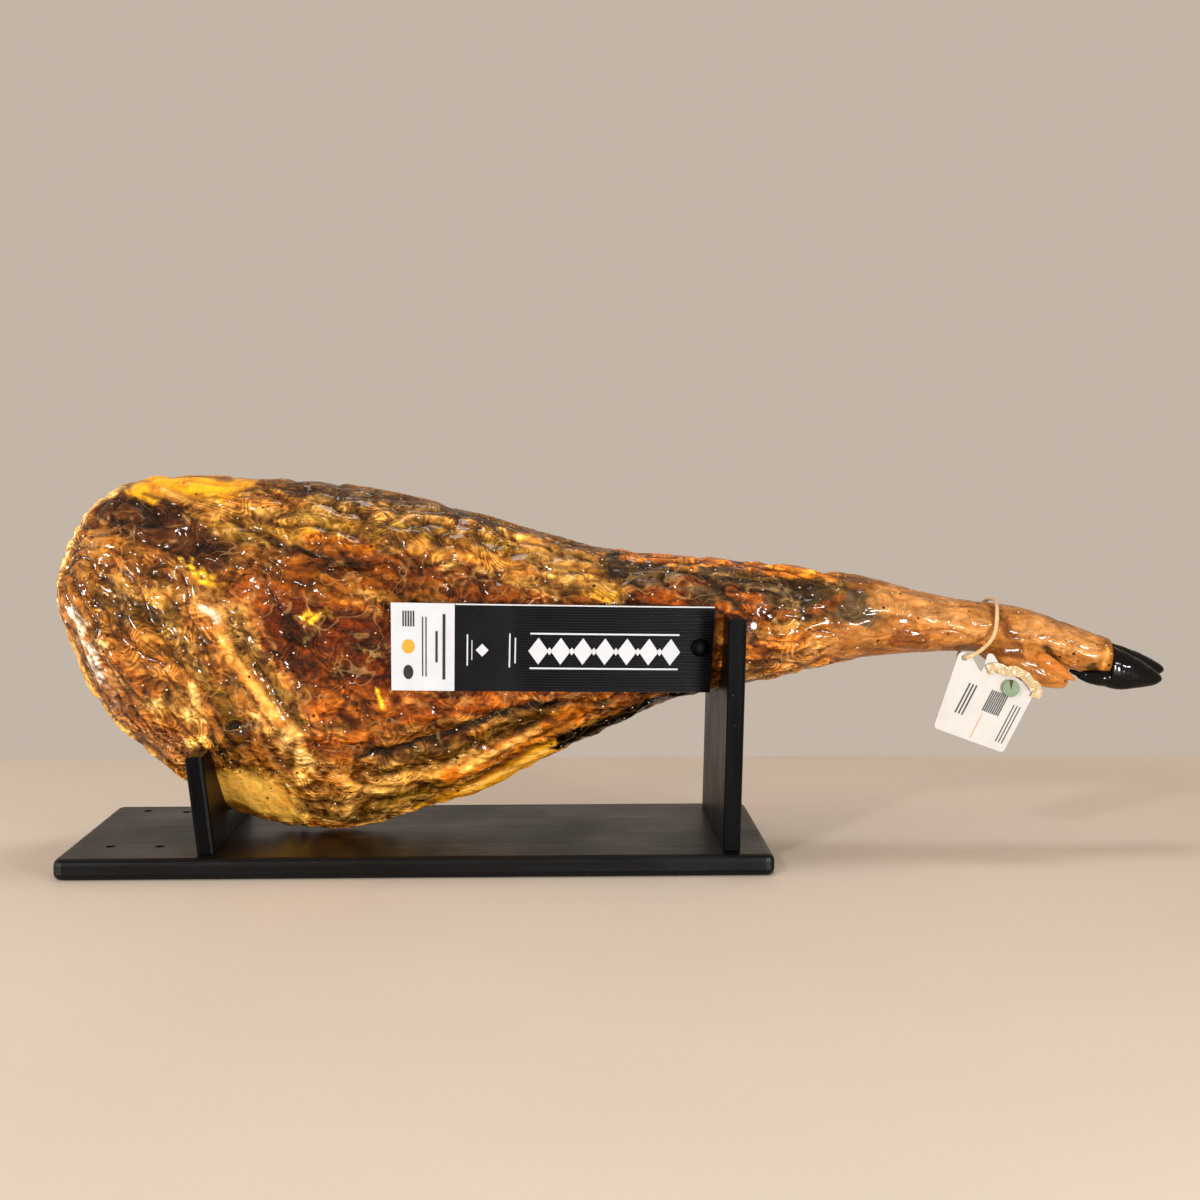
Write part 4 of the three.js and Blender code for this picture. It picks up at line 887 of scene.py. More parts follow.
def leg_space(points, section):
    """Points with the leg straightened and made evenly thick, for patterns that run along it."""
    least = LEG_SPACE["thinnest"]
    _, centre, rise, half = (section[:, None, key] for key in range(4))
    thickness = np.maximum(rise, least) ** 0.5 * LEG_SPACE["thick"] ** 0.5
    y = points[..., 1] / np.maximum(half, least) * thickness
    z = (points[..., 2] - centre) / np.maximum(rise, least) * thickness
    return np.stack([points[..., 0], y, z], axis=-1)


def patch_share(patches, x, z):
    """The strongest of the patches at each point, each falling off softly round its path."""
    share = np.zeros(x.shape)
    for width, strength, path in patches:
        distance = path_distance(path, x, z)[0]
        edge = (width * factor for factor in PATCH_EDGE)
        share = np.maximum(share, strength * smooth_step(*edge, distance))
    return share


def crinkle_relief(points, leg, rough):
    """Relief of dried meat at a wandering place: round folds and smaller pleats, with sharp creases
    where the noise under them passes zero, streaks along the leg, and raised threads along the zero
    lines of another noise. Smooth places keep little more than the broad lumps."""
    wander = shifts(points, *WANDER)
    bent = points + wander
    curled = bent + shifts(points, *RIPPLE)
    steep = smooth_step(*STEEP_PLACE["x"], points[..., 0]) * smooth_step(*STEEP_PLACE["z"], points[..., 2])
    flat_flow, steep_flow = (
        noise(aslant(bent, degrees), cells, seed) for degrees, cells, seed in (FOLDS["flat"], FOLDS["steep"]))
    folds = np.minimum(np.abs(blend(flat_flow, steep_flow, steep)) * CREASE_SLOPE, 1)
    pleats = np.minimum(np.abs(noise(curled, PLEATS["cells"], PLEATS["seed"])) * CREASE_SLOPE, 1)
    streaks = noise(leg + wander * STREAKS["wander"], STREAKS["cells"], STREAKS["seed"])
    threads = veins(curled, *(THREADS[key] for key in ("cells", "seed", "thin", "power")))
    threads *= smooth_step(*THREAD_PLACE["edge"], noise(points, THREAD_PLACE["cell"], THREAD_PLACE["seed"]))
    fine = FOLDS["height"] * (folds - CREASE_MIDDLE) + PLEATS["height"] * (pleats - CREASE_MIDDLE)
    fine = rough * (fine + STREAKS["height"] * streaks + THREADS["height"] * threads)
    return {
        "height": noise(points, *LUMPS) + fine, "fine": fine, "folds": folds, "pleats": pleats,
        "threads": threads * rough,
    }


def brush(colour, strokes, share, x, z, fray):
    """Lays the strokes over the colour one after another. Each has a soft edge, frayed more the
    wider the stroke is."""
    soft = STROKE_EDGE["soft"]
    for paint, width, strength, path in strokes:
        amount = min(width / STROKE_EDGE["full"], 1)
        distance = path_distance(path, x + amount * fray[0], z + amount * fray[1])[0]
        within = width - soft - width / STROKE_EDGE["wide"]
        cover = share * strength * smooth_step(width + soft, within, distance)
        colour = blend(colour, np.array(PAINTS[paint]), cover[..., None])
    return colour


def mottled(first, second, edge, pattern):
    """The first paint where the noise is below the edge, the second above it."""
    return blend(np.array(PAINTS[first]), np.array(PAINTS[second]), smooth_step(*edge, pattern)[..., None])


def paint_ham(points, leg, down, rough, relief):
    """Colour of the ham. Rind, flesh and fat are laid as strokes whose edges are frayed by noise, and some
    strokes are painted shade in grooves and under the label and some painted highlights. Streaks along
    the leg and blotches tint it warmer or cooler. Folds and pleats darken it in their creases as painted
    shade and lighten it on their crests as painted highlight, and raised threads are painted paler as a
    painted highlight."""
    x, y, z = (points[..., axis] for axis in range(3))
    near, far = (smooth_step(*PAINT_SIDES[side], y) for side in ("near", "far"))
    fray = [sum(reach * noise(points, cell, seed) for cell, reach, seed in axis) for axis in FRAY]
    colour = np.broadcast_to(np.array(PAINTS["flesh"]), points.shape)
    colour = brush(colour, FAR_STROKES, far, x, z, fray)
    underside = smooth_step(*UNDERSIDE["down"], down) * smooth_step(*UNDERSIDE["x"], x)
    belly = mottled("fat_pale", "fat_orange", UNDERSIDE["edge"],
                    noise(points, UNDERSIDE["cell"], UNDERSIDE["seed"]))
    colour = blend(colour, belly, (UNDERSIDE["cover"] * underside)[..., None])
    colour = brush(colour, NEAR_STROKES, near, x, z, fray)
    wavy = x + TOP_WAVE["reach"] * np.sin(np.maximum(y, 0) / TOP_WAVE["length"])
    colour = brush(colour, AROUND_STROKES, np.ones(x.shape), wavy, z, fray)
    pattern = noise(leg, *TINT["streaks"]) + TINT["blotch_share"] * noise(points, *TINT["blotches"])
    tint = blend(np.array(TINT["cool"]), np.array(TINT["warm"]),
                 smooth_step(*TINT["edge"], pattern)[..., None])
    colour = colour * blend(np.ones(3), tint, (TINT["smooth"] + TINT["rough"] * rough)[..., None])
    # Painted shade in creases and low places, painted highlight on crests and raised places
    deep = 1 + FINE_SHADE["share"] * np.clip(relief["fine"], -FINE_SHADE["limit"], FINE_SHADE["limit"])
    for name, (crease, crest, share) in (("folds", FOLD_SHADE), ("pleats", PLEAT_SHADE)):
        deep = deep * blend(crease, crest, smooth_step(0, share, relief[name]))
    shade = blend(1, np.maximum(deep, DARKEST), rough)[..., None] ** np.array(SHADE_POWERS)
    # Painted highlight: raised threads turn pale
    pale = mottled("fat_pale", "fat_cream", THREAD_HIGHLIGHTS["edge"],
                   noise(points, THREAD_HIGHLIGHTS["cell"], THREAD_HIGHLIGHTS["seed"]))
    cover = THREAD_HIGHLIGHTS["cover"] * np.clip(relief["threads"], 0, 1)
    return blend(colour * shade, pale, cover[..., None])


def ham_surface(settings):
    """Vertices, faces, colours and smoothness of the ham. The surface is the sections' outline with
    the skin bags, moved along its normal by the relief, and held inside the part's own box."""
    section = ham_rows()
    even = 2 * math.pi * np.arange(HAM_SIDES) / HAM_SIDES
    angle = even + NEAR_SIDE_BIAS * np.cos(even)
    base = with_skin_bags(section_points(section, angle), section)
    normal = grid_normals(base)
    x, y, z = (base[..., axis] for axis in range(3))
    near, far = (smooth_step(*RELIEF_SIDES[side], y) for side in ("near", "far"))
    coarse = fibre_relief(x, z) * blend(FIBRES["far"], FIBRES["near"], near)
    coarse += near * near_relief(x, z) + far * path_relief(FAR_RELIEF, x, z)
    smooth = patch_share(SMOOTH_PATCHES, x, z) * np.maximum(near, smooth_step(*SMOOTH_ROUND, x))
    leg = leg_space(base, section)
    rough = 1 - SMOOTHING * smooth
    relief = crinkle_relief(base, leg, rough)
    ends = smooth_step(*BUTT_END_FADE, x) * smooth_step(CUT_PLANE["x"], CUT_PLANE["x"] - CUT_END_FADE, x)
    clear = clear_of_boards(x, z)
    height = (coarse + settings.relief * (relief["height"] - RELIEF_SUNK)) * clear * ends
    points = base + normal * height[..., None]
    low, high = (np.array(corner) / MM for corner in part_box("ham"))
    points[..., 2] = np.clip(points[..., 2], BASE_TOP + CLEARANCE, high[2])
    points[..., 0] = np.maximum(points[..., 0], low[0])
    shear = smooth_step(CUT_PLANE["x"] - CUT_PLANE["fade"], CUT_PLANE["x"], points[..., 0])
    points[..., 0] += shear * (points[..., 2] - CUT_PLANE["z"]) * CUT_SLOPE
    colour = paint_ham(points, leg, -normal[..., 2], rough, relief)
    first = points[0].mean(axis=0)
    first[0] = low[0]
    last = points[-1].mean(axis=0)
    vertices, faces = closed_skin(points, first, last)
    colours = np.vstack([colour.reshape(-1, 3), colour[0].mean(axis=0), colour[-1].mean(axis=0)])
    smoothness = np.concatenate([smooth.ravel(), [0, 1]])
    return vertices, faces, colours, smoothness


# Meshes

def make_piece(name, vertices, faces, materials, slot, replaced=(), sharp=40):
    """Writes a mesh in metres, shades it smooth except where faces meet at more than the given
    angle, hangs the piece under the body's empty, and hides the parts of the frame that it replaces."""
    mesh = bpy.data.meshes.new(name)
    mesh.from_pydata((np.asarray(vertices) * MM).tolist(), [], [list(face) for face in faces])
    mesh.shade_smooth()
    mesh.set_sharp_from_angle(angle=math.radians(sharp))
    for material in materials:
        mesh.materials.append(material)
    piece = bpy.data.objects.new(name, mesh)
    bpy.context.scene.collection.objects.link(piece)
    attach(piece, BODY)
    if replaced:
        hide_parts(*replaced)
    return piece


def add_colours(piece, name, colours):
    """Keeps one colour for each vertex."""
    attribute = piece.data.color_attributes.new(name, "FLOAT_COLOR", "POINT")
    rgba = np.concatenate([colours, np.ones((len(colours), 1))], axis=1)
    attribute.data.foreach_set("color", rgba.ravel())


def add_values(piece, name, values):
    """Keeps one number for each vertex."""
    attribute = piece.data.attributes.new(name, "FLOAT", "POINT")
    attribute.data.foreach_set("value", np.asarray(values, float))


def joined(surfaces):
    """Vertices and faces of several surfaces as one list each."""
    vertices, faces, start = [], [], 0
    for points, corners in surfaces:
        vertices.append(points)
        faces += [[index + start for index in face] for face in corners]
        start += len(points)
    return np.vstack(vertices), faces


# Materials

class Tree:
    """A material's nodes. Each method adds one node and returns its output."""

    def __init__(self, name):
        self.material = bpy.data.materials.new(name)
        self.material.use_nodes = True
        self.nodes = self.material.node_tree.nodes
        self.links = self.material.node_tree.links
        self.shader = self.nodes["Principled BSDF"]
        self.place = self.node("ShaderNodeTexCoord").outputs["Object"]

    def node(self, kind, inputs=None, **settings):
        """A node with its settings and its inputs."""
        new = self.nodes.new(kind)
        for key, value in settings.items():
            setattr(new, key, value)
        for key, value in (inputs or {}).items():
            self.set(new.inputs[key], value)
        return new

    def set(self, socket, value):
        """Links another node's output to the socket, or sets the socket itself."""
        if isinstance(value, bpy.types.NodeSocket):
            self.links.new(value, socket)
        elif socket.type == "RGBA" and len(value) == 3:
            socket.default_value = (*value, 1)
        else:
            socket.default_value = value

    def finish(self, inputs):
        """The material, with the shader's inputs set."""
        for key, value in inputs.items():
            self.set(self.shader.inputs[key], value)
        return self.material

    def mapped(self, scale, turn=(0, 0, 0)):
        """The place, scaled and turned."""
        inputs = {"Vector": self.place, "Scale": scale, "Rotation": turn}
        return self.node("ShaderNodeMapping", inputs).outputs[0]

    def noise(self, scale, detail, distortion=0.0, place=None):
        """Noise between 0 and 1 at a place."""
        return self.node("ShaderNodeTexNoise", {
            "Vector": self.place if place is None else place, "Scale": scale, "Detail": detail,
            "Roughness": NOISE_ROUGHNESS, "Distortion": distortion,
        }).outputs["Fac"]

    def cells(self, scale, place=None, output="Distance"):
        """Distance to the nearest of many scattered points, or that point's colour."""
        inputs = {"Vector": self.place if place is None else place, "Scale": scale}
        return self.node("ShaderNodeTexVoronoi", inputs).outputs[output]

    def ranged(self, value, low, high, to_low=0.0, to_high=1.0):
        """The value moved from one range into another and held inside it."""
        return self.node("ShaderNodeMapRange", {
            "Value": value, "From Min": low, "From Max": high, "To Min": to_low, "To Max": to_high,
        }).outputs["Result"]

    def math(self, operation, a, b=0.0):
        """One or two numbers under an operation."""
        return self.node("ShaderNodeMath", {0: a, 1: b}, operation=operation).outputs[0]

    def mix(self, share, a, b):
        """Colour a where the share is 0 and colour b where it is 1."""
        return self.node("ShaderNodeMix", {0: share, 6: a, 7: b}, data_type="RGBA").outputs[2]

    def scaled(self, colour, factor):
        """The colour times a number."""
        new = self.node("ShaderNodeVectorMath", {0: colour}, operation="SCALE")
        self.set(new.inputs["Scale"], factor)
        return new.outputs[0]

    def summed(self, values, weights):
        """Sum of the named values times their weights."""
        total, *terms = [self.math("MULTIPLY", values[name], weight) for name, weight in weights.items()]
        for term in terms:
            total = self.math("ADD", total, term)
        return total

    def product(self, *values):
        """Product of two or more values."""
        total = values[0]
        for value in values[1:]:
            total = self.math("MULTIPLY", total, value)
        return total

    def exponents(self, value, weights):
        """The vector of e to the value times each of three weights."""
        powers = [self.math("EXPONENT", self.math("MULTIPLY", value, weight)) for weight in weights]
        return self.node("ShaderNodeCombineXYZ", dict(enumerate(powers))).outputs[0]

    def line(self, value, half):
        """1 near the value's middle of 0.5, falling to 0 at half above and below it."""
        away = self.math("ABSOLUTE", self.math("SUBTRACT", value, 0.5))
        return self.ranged(away, half, MEAT_LINES["core"] * half)

    def attribute(self, name, output="Color"):
        """A value kept at the vertices."""
        return self.node("ShaderNodeAttribute", attribute_name=name).outputs[output]

    def bump(self, height, distance, strength):
        """The normal, tilted by a height."""
        inputs = {"Height": height, "Distance": distance, "Strength": strength}
        return self.node("ShaderNodeBump", inputs).outputs[0]


def spread(middle, limits):
    """The middle value plus each of two limits."""
    return middle + limits[0], middle + limits[1]


def shaded(colour, share):
    """The colour times a share."""
    return tuple(share * part for part in colour)


def meat_material(settings):
    """Oily dried meat, fat and skin. The painted colour is multiplied by e to the sum of curling
    noises at four sizes and of fingerprint lines, which follow the levels of a calmer noise. Pale
    threads, painted paler as painted highlights, and dark cracks, darkened as painted shade, lie
    where other noises cross their middle. There are dark pores, and white dots painted as glints on
    small raised drops. The same values raise and sink the surface in the bump, in millimetres."""
    tree = Tree("cured meat")
    paint = tree.attribute("paint")
    smooth = tree.attribute("smoothness", "Fac")
    rough = tree.math("SUBTRACT", 1.0, tree.math("MULTIPLY", smooth, MEAT_SMOOTH["rough"]))
    turned = tree.mapped(*MEAT_TURNED)
    places = {"curls": turned, "threads": turned, "fibres": tree.mapped(*MEAT_FIBRES)}
    layer = {name: tree.noise(*form, places.get(name)) for name, form in MEAT_NOISES.items()}
    layer["rings"] = tree.math("SINE", tree.math("MULTIPLY", layer["rings"], settings.ring_count))
    for name in ("threads", "cracks"):
        layer[name] = tree.line(layer[name], MEAT_LINES[name])
    for name, mask in (("rings", "patches"), ("threads", "patches"), ("cracks", "curls")):
        layer[name] = tree.product(layer[name], tree.ranged(layer[mask], *MEAT_EDGES[name]), rough)
    tone = tree.math("SUBTRACT", tree.summed(layer, MEAT_TONE), MEAT_TONE_MIDDLE)
    tone = tree.product(tone, tree.ranged(rough, *MEAT_SMOOTH["from"], *MEAT_SMOOTH["tone"]))
    factors = tree.exponents(tone, MEAT_TONE_POWERS)
    colour = tree.node("ShaderNodeVectorMath", {0: paint, 1: factors}, operation="MULTIPLY").outputs[0]
    # Pale threads as painted highlight: the paint made paler and mixed with the thread colour
    pale = tree.mix(THREAD_MIX, tree.scaled(paint, THREAD_HIGHLIGHT_GAIN), settings.thread_highlight_colour)
    layer["pores"] = tree.product(
        tree.ranged(tree.cells(PORE_SCALE), *MEAT_EDGES["pores"]),
        tree.ranged(layer["patches"], *MEAT_EDGES["pore_place"]))
    # White dots painted as glints on small raised drops
    layer["glints"] = tree.product(
        tree.ranged(tree.cells(GLINT_SCALE, turned), *MEAT_EDGES["glints"]),
        tree.ranged(tree.cells(GLINT_SCALE, turned, "Color"), *MEAT_EDGES["glint_place"]))
    # Cracks darkened as painted shade, threads and white dots painted light as painted highlights, pores in
    # their own colour
    over = {
        "cracks": tree.scaled(paint, CRACK_SHADE), "threads": pale, "pores": settings.pore_colour,
        "glints": settings.glint_colour,
    }
    for name, top in over.items():
        colour = tree.mix(tree.product(layer[name], MEAT_COVER[name]), colour, top)
    kept = tree.ranged(rough, *MEAT_SMOOTH["from"], *MEAT_SMOOTH["height"])
    layer["folds"] = tree.product(tree.summed(layer, MEAT_FOLDS), kept)
    normal = tree.bump(tree.summed(layer, MEAT_GRAIN), MM, 1.0)
    gloss = tree.ranged(layer["gloss"], *MEAT_EDGES["gloss"], *spread(settings.roughness, MEAT_GLOSS))
    return tree.finish({
        "Base Color": colour, "Roughness": gloss, "Normal": normal,
        "Coat Weight": settings.oil, **MEAT_SHINE,
    })


def wood_material(settings, name, along, shine):
    """Black lacquered wood: fine grain stretched along one axis shows in colour, gloss and bump,
    with sparse scuffs and worn specks."""
    tree = Tree(name)
    scale = [WOOD["across"]] * 3
    scale[along] = WOOD["along"]
    grain = tree.noise(*WOOD["grain"], tree.mapped(tuple(scale)))
    broad = tree.noise(*WOOD["broad"])
    specks = tree.ranged(tree.noise(*WOOD["specks"]), *WOOD["speck_edge"])
    dark, colour = shaded(settings.board_colour, WOOD["dark"]), tuple(settings.board_colour)
    colour = tree.mix(tree.ranged(grain, *WOOD["grain_edge"]), dark, colour)
    colour = tree.mix(tree.math("MULTIPLY", specks, WOOD["speck_cover"]), colour, WORN_WOOD)
    rough = tree.ranged(broad, *MOTTLE_EDGE, *spread(settings.board_roughness, WOOD["gloss"]))
    rough = tree.math("ADD", rough, tree.ranged(grain, *MOTTLE_EDGE, *WOOD["grain_gloss"]))
    return tree.finish({
        "Base Color": colour, "Roughness": rough, "Normal": tree.bump(grain, *WOOD["bump"]),
        "Specular IOR Level": shine,
    })


def horn_material(name, colour, tip):
    """Polished horn: streaks along the claw and cloudy patches, in colour and bump."""
    tree = Tree(name)
    streaks = tree.noise(*CLAW_HORN["streaks"], tree.mapped(CLAW_HORN["scale"]))
    patches = tree.noise(*CLAW_HORN["patches"])
    shade = tree.mix(tree.ranged(streaks, *CLAW_HORN["streak_edge"]), colour, tip)
    cover = tree.ranged(patches, *CLAW_HORN["patch_edge"], *CLAW_HORN["patch_cover"])
    rough = tree.ranged(patches, *MOTTLE_EDGE, *CLAW_HORN["gloss"])
    height = tree.math("ADD", streaks, tree.math("MULTIPLY", patches, CLAW_HORN["patch_height"]))
    return tree.finish({
        "Base Color": tree.mix(cover, shade, colour), "Roughness": rough,
        "Normal": tree.bump(height, *CLAW_HORN["bump"]), **HORN_SHINE,
    })


def card_material(name, colour, roughness=CARD["roughness"], relief=CARD["relief"], shine=CARD["shine"]):
    """Printed card: faint mottling in the colour, fine fibre in the bump."""
    tree = Tree(name)
    fibre = tree.noise(*CARD["fibre"])
    mottle = tree.ranged(tree.noise(*CARD["mottle"]), *MOTTLE_EDGE)
    return tree.finish({
        "Base Color": tree.mix(mottle, shaded(colour, CARD["dark"]), tuple(colour)),
        "Roughness": tree.ranged(fibre, *MOTTLE_EDGE, *spread(roughness, CARD["gloss"])),
        "Normal": tree.bump(fibre, relief, CARD["bump"]), "Specular IOR Level": shine,
    })


def ribbed_material(settings):
    """Black ribbed card: the crests, where the value kept at the vertices is 1, are painted paler than
    the grooves as a painted highlight, with faint mottling."""
    tree = Tree("label card black")
    mottle = tree.noise(*CARD["mottle"])
    colour = tuple(settings.card_colour)
    shade = tree.mix(tree.ranged(mottle, *MOTTLE_EDGE), shaded(colour, RIBBED["dark"]), colour)
    crest = tree.ranged(tree.attribute("rib", "Fac"), *RIBBED["rib_edge"])
    return tree.finish({
        "Base Color": tree.mix(crest, shade, tree.scaled(shade, settings.rib_highlight)),
        "Roughness": tree.ranged(mottle, *MOTTLE_EDGE, *RIBBED["gloss"]),
        "Specular IOR Level": RIBBED["shine"],
    })


def film_material(name, colour, roughness):
    """Soft plastic: faint cloudiness, and creases in the bump."""
    tree = Tree(name)
    cloud = tree.noise(*FILM["cloud"])
    return tree.finish({
        "Base Color": tree.mix(tree.ranged(cloud, *MOTTLE_EDGE), shaded(colour, FILM["dark"]), tuple(colour)),
        "Roughness": tree.ranged(cloud, *MOTTLE_EDGE, *spread(roughness, FILM["gloss"])),
        "Normal": tree.bump(cloud, *FILM["bump"]), **FILM_SHINE,
    })


def dress_node(name, material):
    """Gives a node of the frame another finish."""
    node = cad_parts[name]
    node.data.materials.clear()
    node.data.materials.append(material)


# Pieces

def claw_surface(place):
    """A claw: superellipse sections along its length, shifted sideways by reach and up by rise, cut
    off flat at the plane of the coronet, with growth rings as fine waves along X."""
    table = station_table(CLAW_STATIONS)
    rings, sides = CLAW_MESH["rings"], CLAW_MESH["sides"]
    first, last = CLAW_STATIONS[0], CLAW_STATIONS[-1]
    t = np.linspace(0, len(CLAW_STATIONS) - 1, rings + 1)[1:-1]
    angle = 2 * math.pi * np.arange(sides) / sides
    points = section_points(section_at(table, t), angle)
    bend = GROWTH_RINGS["bend"] * np.sin(points[..., 2])
    wave = GROWTH_RINGS["height"] * np.sin(points[..., 0] * GROWTH_RINGS["turns"] + bend)
    dents = CLAW_DENTS["depth"] * (noise(points, CLAW_DENTS["cell"], CLAW_DENTS["seed"]) - 1)
    points += grid_normals(points) * (wave + dents)[..., None]
    placed = []
    for part in (points, *(np.array([x, 0, z], float) for x, z, *_ in (first, last))):
        share = (part[..., 0] - first[0]) / (last[0] - first[0])
        z = part[..., 2] + place["rise"] * share
        plane = CUT_PLANE["x"] + CORONET_GAP + (z - CUT_PLANE["z"]) * CUT_SLOPE
        x = np.maximum(part[..., 0] + place["reach"] * share, plane)
        placed.append(np.stack([x, place["y"] + part[..., 1], z], axis=-1))
    return closed_skin(*placed)


def heel_surface(place):
    """The bulb of the heel: ovals along a line, behind and under the claw."""
    rise = place["rise"] * HEEL["rise"]
    form = {
        "from": (HEEL["from"][0], place["y"] * HEEL["draw_in"], HEEL["from"][1] + rise),
        "to": (HEEL["to"][0], place["y"], HEEL["to"][1] + rise), "wide": HEEL["wide"], "high": HEEL["high"],
    }
    grid, start, end = pod_grid(form, bag_fullness, HEEL["rings"], HEEL["sides"])
    dents = HEEL["dents"] * (noise(grid, HEEL["dent_cell"], HEEL["seed"]) - 1)
    return closed_skin(grid + grid_normals(grid) * dents[..., None], start, end)


def label_front(length, height, lift):
    """Point over the card's front face at shares of its length and height. The plan is the curve
    through the plan points, and the edges run straight from the left end to the right end."""
    plan = curve_points(LABEL_PLAN, LABEL["samples"])
    slope = unit(np.gradient(plan, axis=0))
    share = np.linspace(0, 1, len(plan))
    x, y, along_x, along_y = (np.interp(length, share, column) for column in (*plan.T, *slope.T))
    across = (x - plan[0, 0]) / (plan[-1, 0] - plan[0, 0])
    bottom = blend(LABEL["bottom_left"], LABEL["bottom_right"], across)
    top = blend(LABEL["top_left"], LABEL["top_right"], across)
    x = x - LABEL["end_slant"] * across * (1 - height)
    return np.stack([x + along_y * lift, y - along_x * lift, blend(bottom, top, height)], axis=-1)


def add_label_card():
    """Card with fine level ribs on its black part and a plain white panel at its left end. A rib is
    a wave of the height, fading out at the panel and at the card's edges."""
    settings = bpy.context.scene.ham_label
    panel = np.linspace(0, PANEL_END, LABEL_MESH["panel_columns"])
    columns = np.concatenate([panel, np.linspace(PANEL_END, 1, LABEL_MESH["columns"])[1:]])
    rows = np.linspace(0, 1, LABEL_MESH["rows"])
    length, height = np.meshgrid(columns, rows)
    ribs = np.cos(2 * math.pi * height * LABEL_TALL / settings.rib_pitch)
    ribs *= smooth_step(*RIB_START, length) * smooth_step(1, 1 - RIB_EDGE["length"], length)
    ribs *= smooth_step(0, RIB_EDGE["height"], height) * smooth_step(1, 1 - RIB_EDGE["height"], height)
    front = label_front(length, height, settings.rib_height / 2 * ribs)
    vertices, faces = slab(front, label_front(length, height, -LABEL["thickness"]))
    white = card_material("label card white", settings.panel_colour)
    piece = make_piece(
        "label_card_shape", vertices, faces, [ribbed_material(settings), white], "label_board",
        ["label_card"], sharp=50)
    cells = (len(rows) - 1) * (len(columns) - 1)
    left = np.tile(np.arange(len(columns) - 1) < len(panel) - 1, len(rows) - 1)
    index = np.concatenate([left, np.zeros(cells, bool), np.ones(len(faces) - 2 * cells, bool)])
    piece.data.polygons.foreach_set("material_index", index.astype(np.int32))
    add_values(piece, "rib", np.concatenate([ribs.ravel(), np.zeros(ribs.size)]))
    low, high = LABEL_TALL - EDGE_LINE["width"], LABEL_TALL - EDGE_LINE["gap"]
    edge = printed_patch(EDGE_LINE["from"], EDGE_LINE["to"], low, high, EDGE_LINE["steps"])
    make_piece("label_edge", *edge, [white], "label_board")


def label_plate(length, height):
    """A thin plate over the card's front, from a grid of lengths and heights in millimetres."""
    place = length / LABEL_WIDE, height / LABEL_TALL
    return slab(label_front(*place, PRINT_FRONT), label_front(*place, PRINT_BACK))


def square_grid(steps):
    """Grid of two numbers that each run from -1 to 1."""
    return np.meshgrid(np.linspace(-1, 1, steps), np.linspace(-1, 1, steps))


def printed_patch(left, right, bottom, top, steps, is_round=False):
    """A plate on the card's front between two lengths and two heights in millimetres from its left
    end and bottom. A round one is the oval of the same size."""
    u, v = square_grid(steps)
    if is_round:
        shrink = np.maximum(np.abs(u), np.abs(v)) / np.maximum(np.hypot(u, v), TINY)
        u, v = u * shrink, v * shrink
    length = (left + right) / 2 + u * (right - left) / 2
    height = (bottom + top) / 2 + v * (top - bottom) / 2
    return label_plate(length, height)


def lozenge_patch(x, z, half_x, half_z):
    """A thin lozenge on the card's front."""
    u, v = square_grid(PRINT_STEPS["lozenge"])
    return label_plate(x + half_x * (u - v) / 2, z + half_z * (u + v) / 2)


def stripes(number, first, width, pitch, bottom, top):
    """Left, right, bottom and top of a number of upright stripes, one pitch apart."""
    return [(first + pitch * step, first + width + pitch * step, bottom, top) for step in range(number)]


def add_label_print():
    """Generic ornament on the card: a row of lozenges between two rules, plain bars and two discs."""
    plates, disc = PRINT_STEPS["plate"], PRINT_STEPS["disc"]
    light = [printed_patch(*place, plates) for place in PLATES_WHITE]
    light += [lozenge_patch(*place) for place in LOZENGES]
    dark = [printed_patch(*place, plates) for place in PLATES_BLACK]
    dark += [printed_patch(*place, PRINT_STEPS["stripe"]) for place in stripes(*STRIPES_BLACK)]
    dark.append(printed_patch(*DISC_BLACK, disc, True))
    spot = [printed_patch(*DISC_ORANGE, disc, True)]
    white = bpy.context.scene.ham_label.panel_colour
    for name, patches, colour in (
            ("white", light, white), ("black", dark, LABEL_BLACK), ("orange", spot, LABEL_ORANGE)):
        ink = card_material("label print " + name, colour)
        make_piece("label_print_" + name, *joined(patches), [ink], "label_board")


def stud_surface():
    """A low button: rings whose radius is a power of the cosine and whose height is the sine."""
    plan = curve_points(LABEL_PLAN, LABEL["samples"])
    index = int(np.argmax(plan[:, 0] > STUD["x"]))
    slope = unit(plan[index + 1] - plan[index])
    outwards = np.array([slope[1], -slope[0], 0])
    along = np.array([slope[0], slope[1], 0])
    seat = np.array([plan[index, 0], plan[index, 1], STUD["z"]]) + outwards * STUD["gap"]
    rise = np.linspace(0, math.pi / 2, STUD["rings"] + 1)[:-1]
    angle = 2 * math.pi * np.arange(STUD["sides"]) / STUD["sides"]
    radius = STUD["radius"] * np.cos(rise) ** STUD["fullness"]
    ring = np.cos(angle)[:, None] * along + np.sin(angle)[:, None] * np.array([0, 0, 1.0])
    grid = seat + radius[:, None, None] * ring + (STUD["height"] * np.sin(rise))[:, None, None] * outwards
    return closed_skin(grid, seat, seat + outwards * STUD["height"])


def loop_surface():
    """The band: a tube round its closed path, a little flattened, with a shallow wave."""
    rings, sides = LOOP["rings"], LOOP["sides"]
    path = curve_points(LOOP_PATH, rings, closed=True)
    wave = 1 + LOOP["wave"] * np.sin(np.arange(rings) * LOOP["wave_turn"])
    grid = tube(path, LOOP["radius"] * wave[:, None, None], sides, LOOP["flatness"])
    faces = grid_faces(rings + 1, sides) % (rings * sides)
    return grid.reshape(-1, 3), faces.tolist()


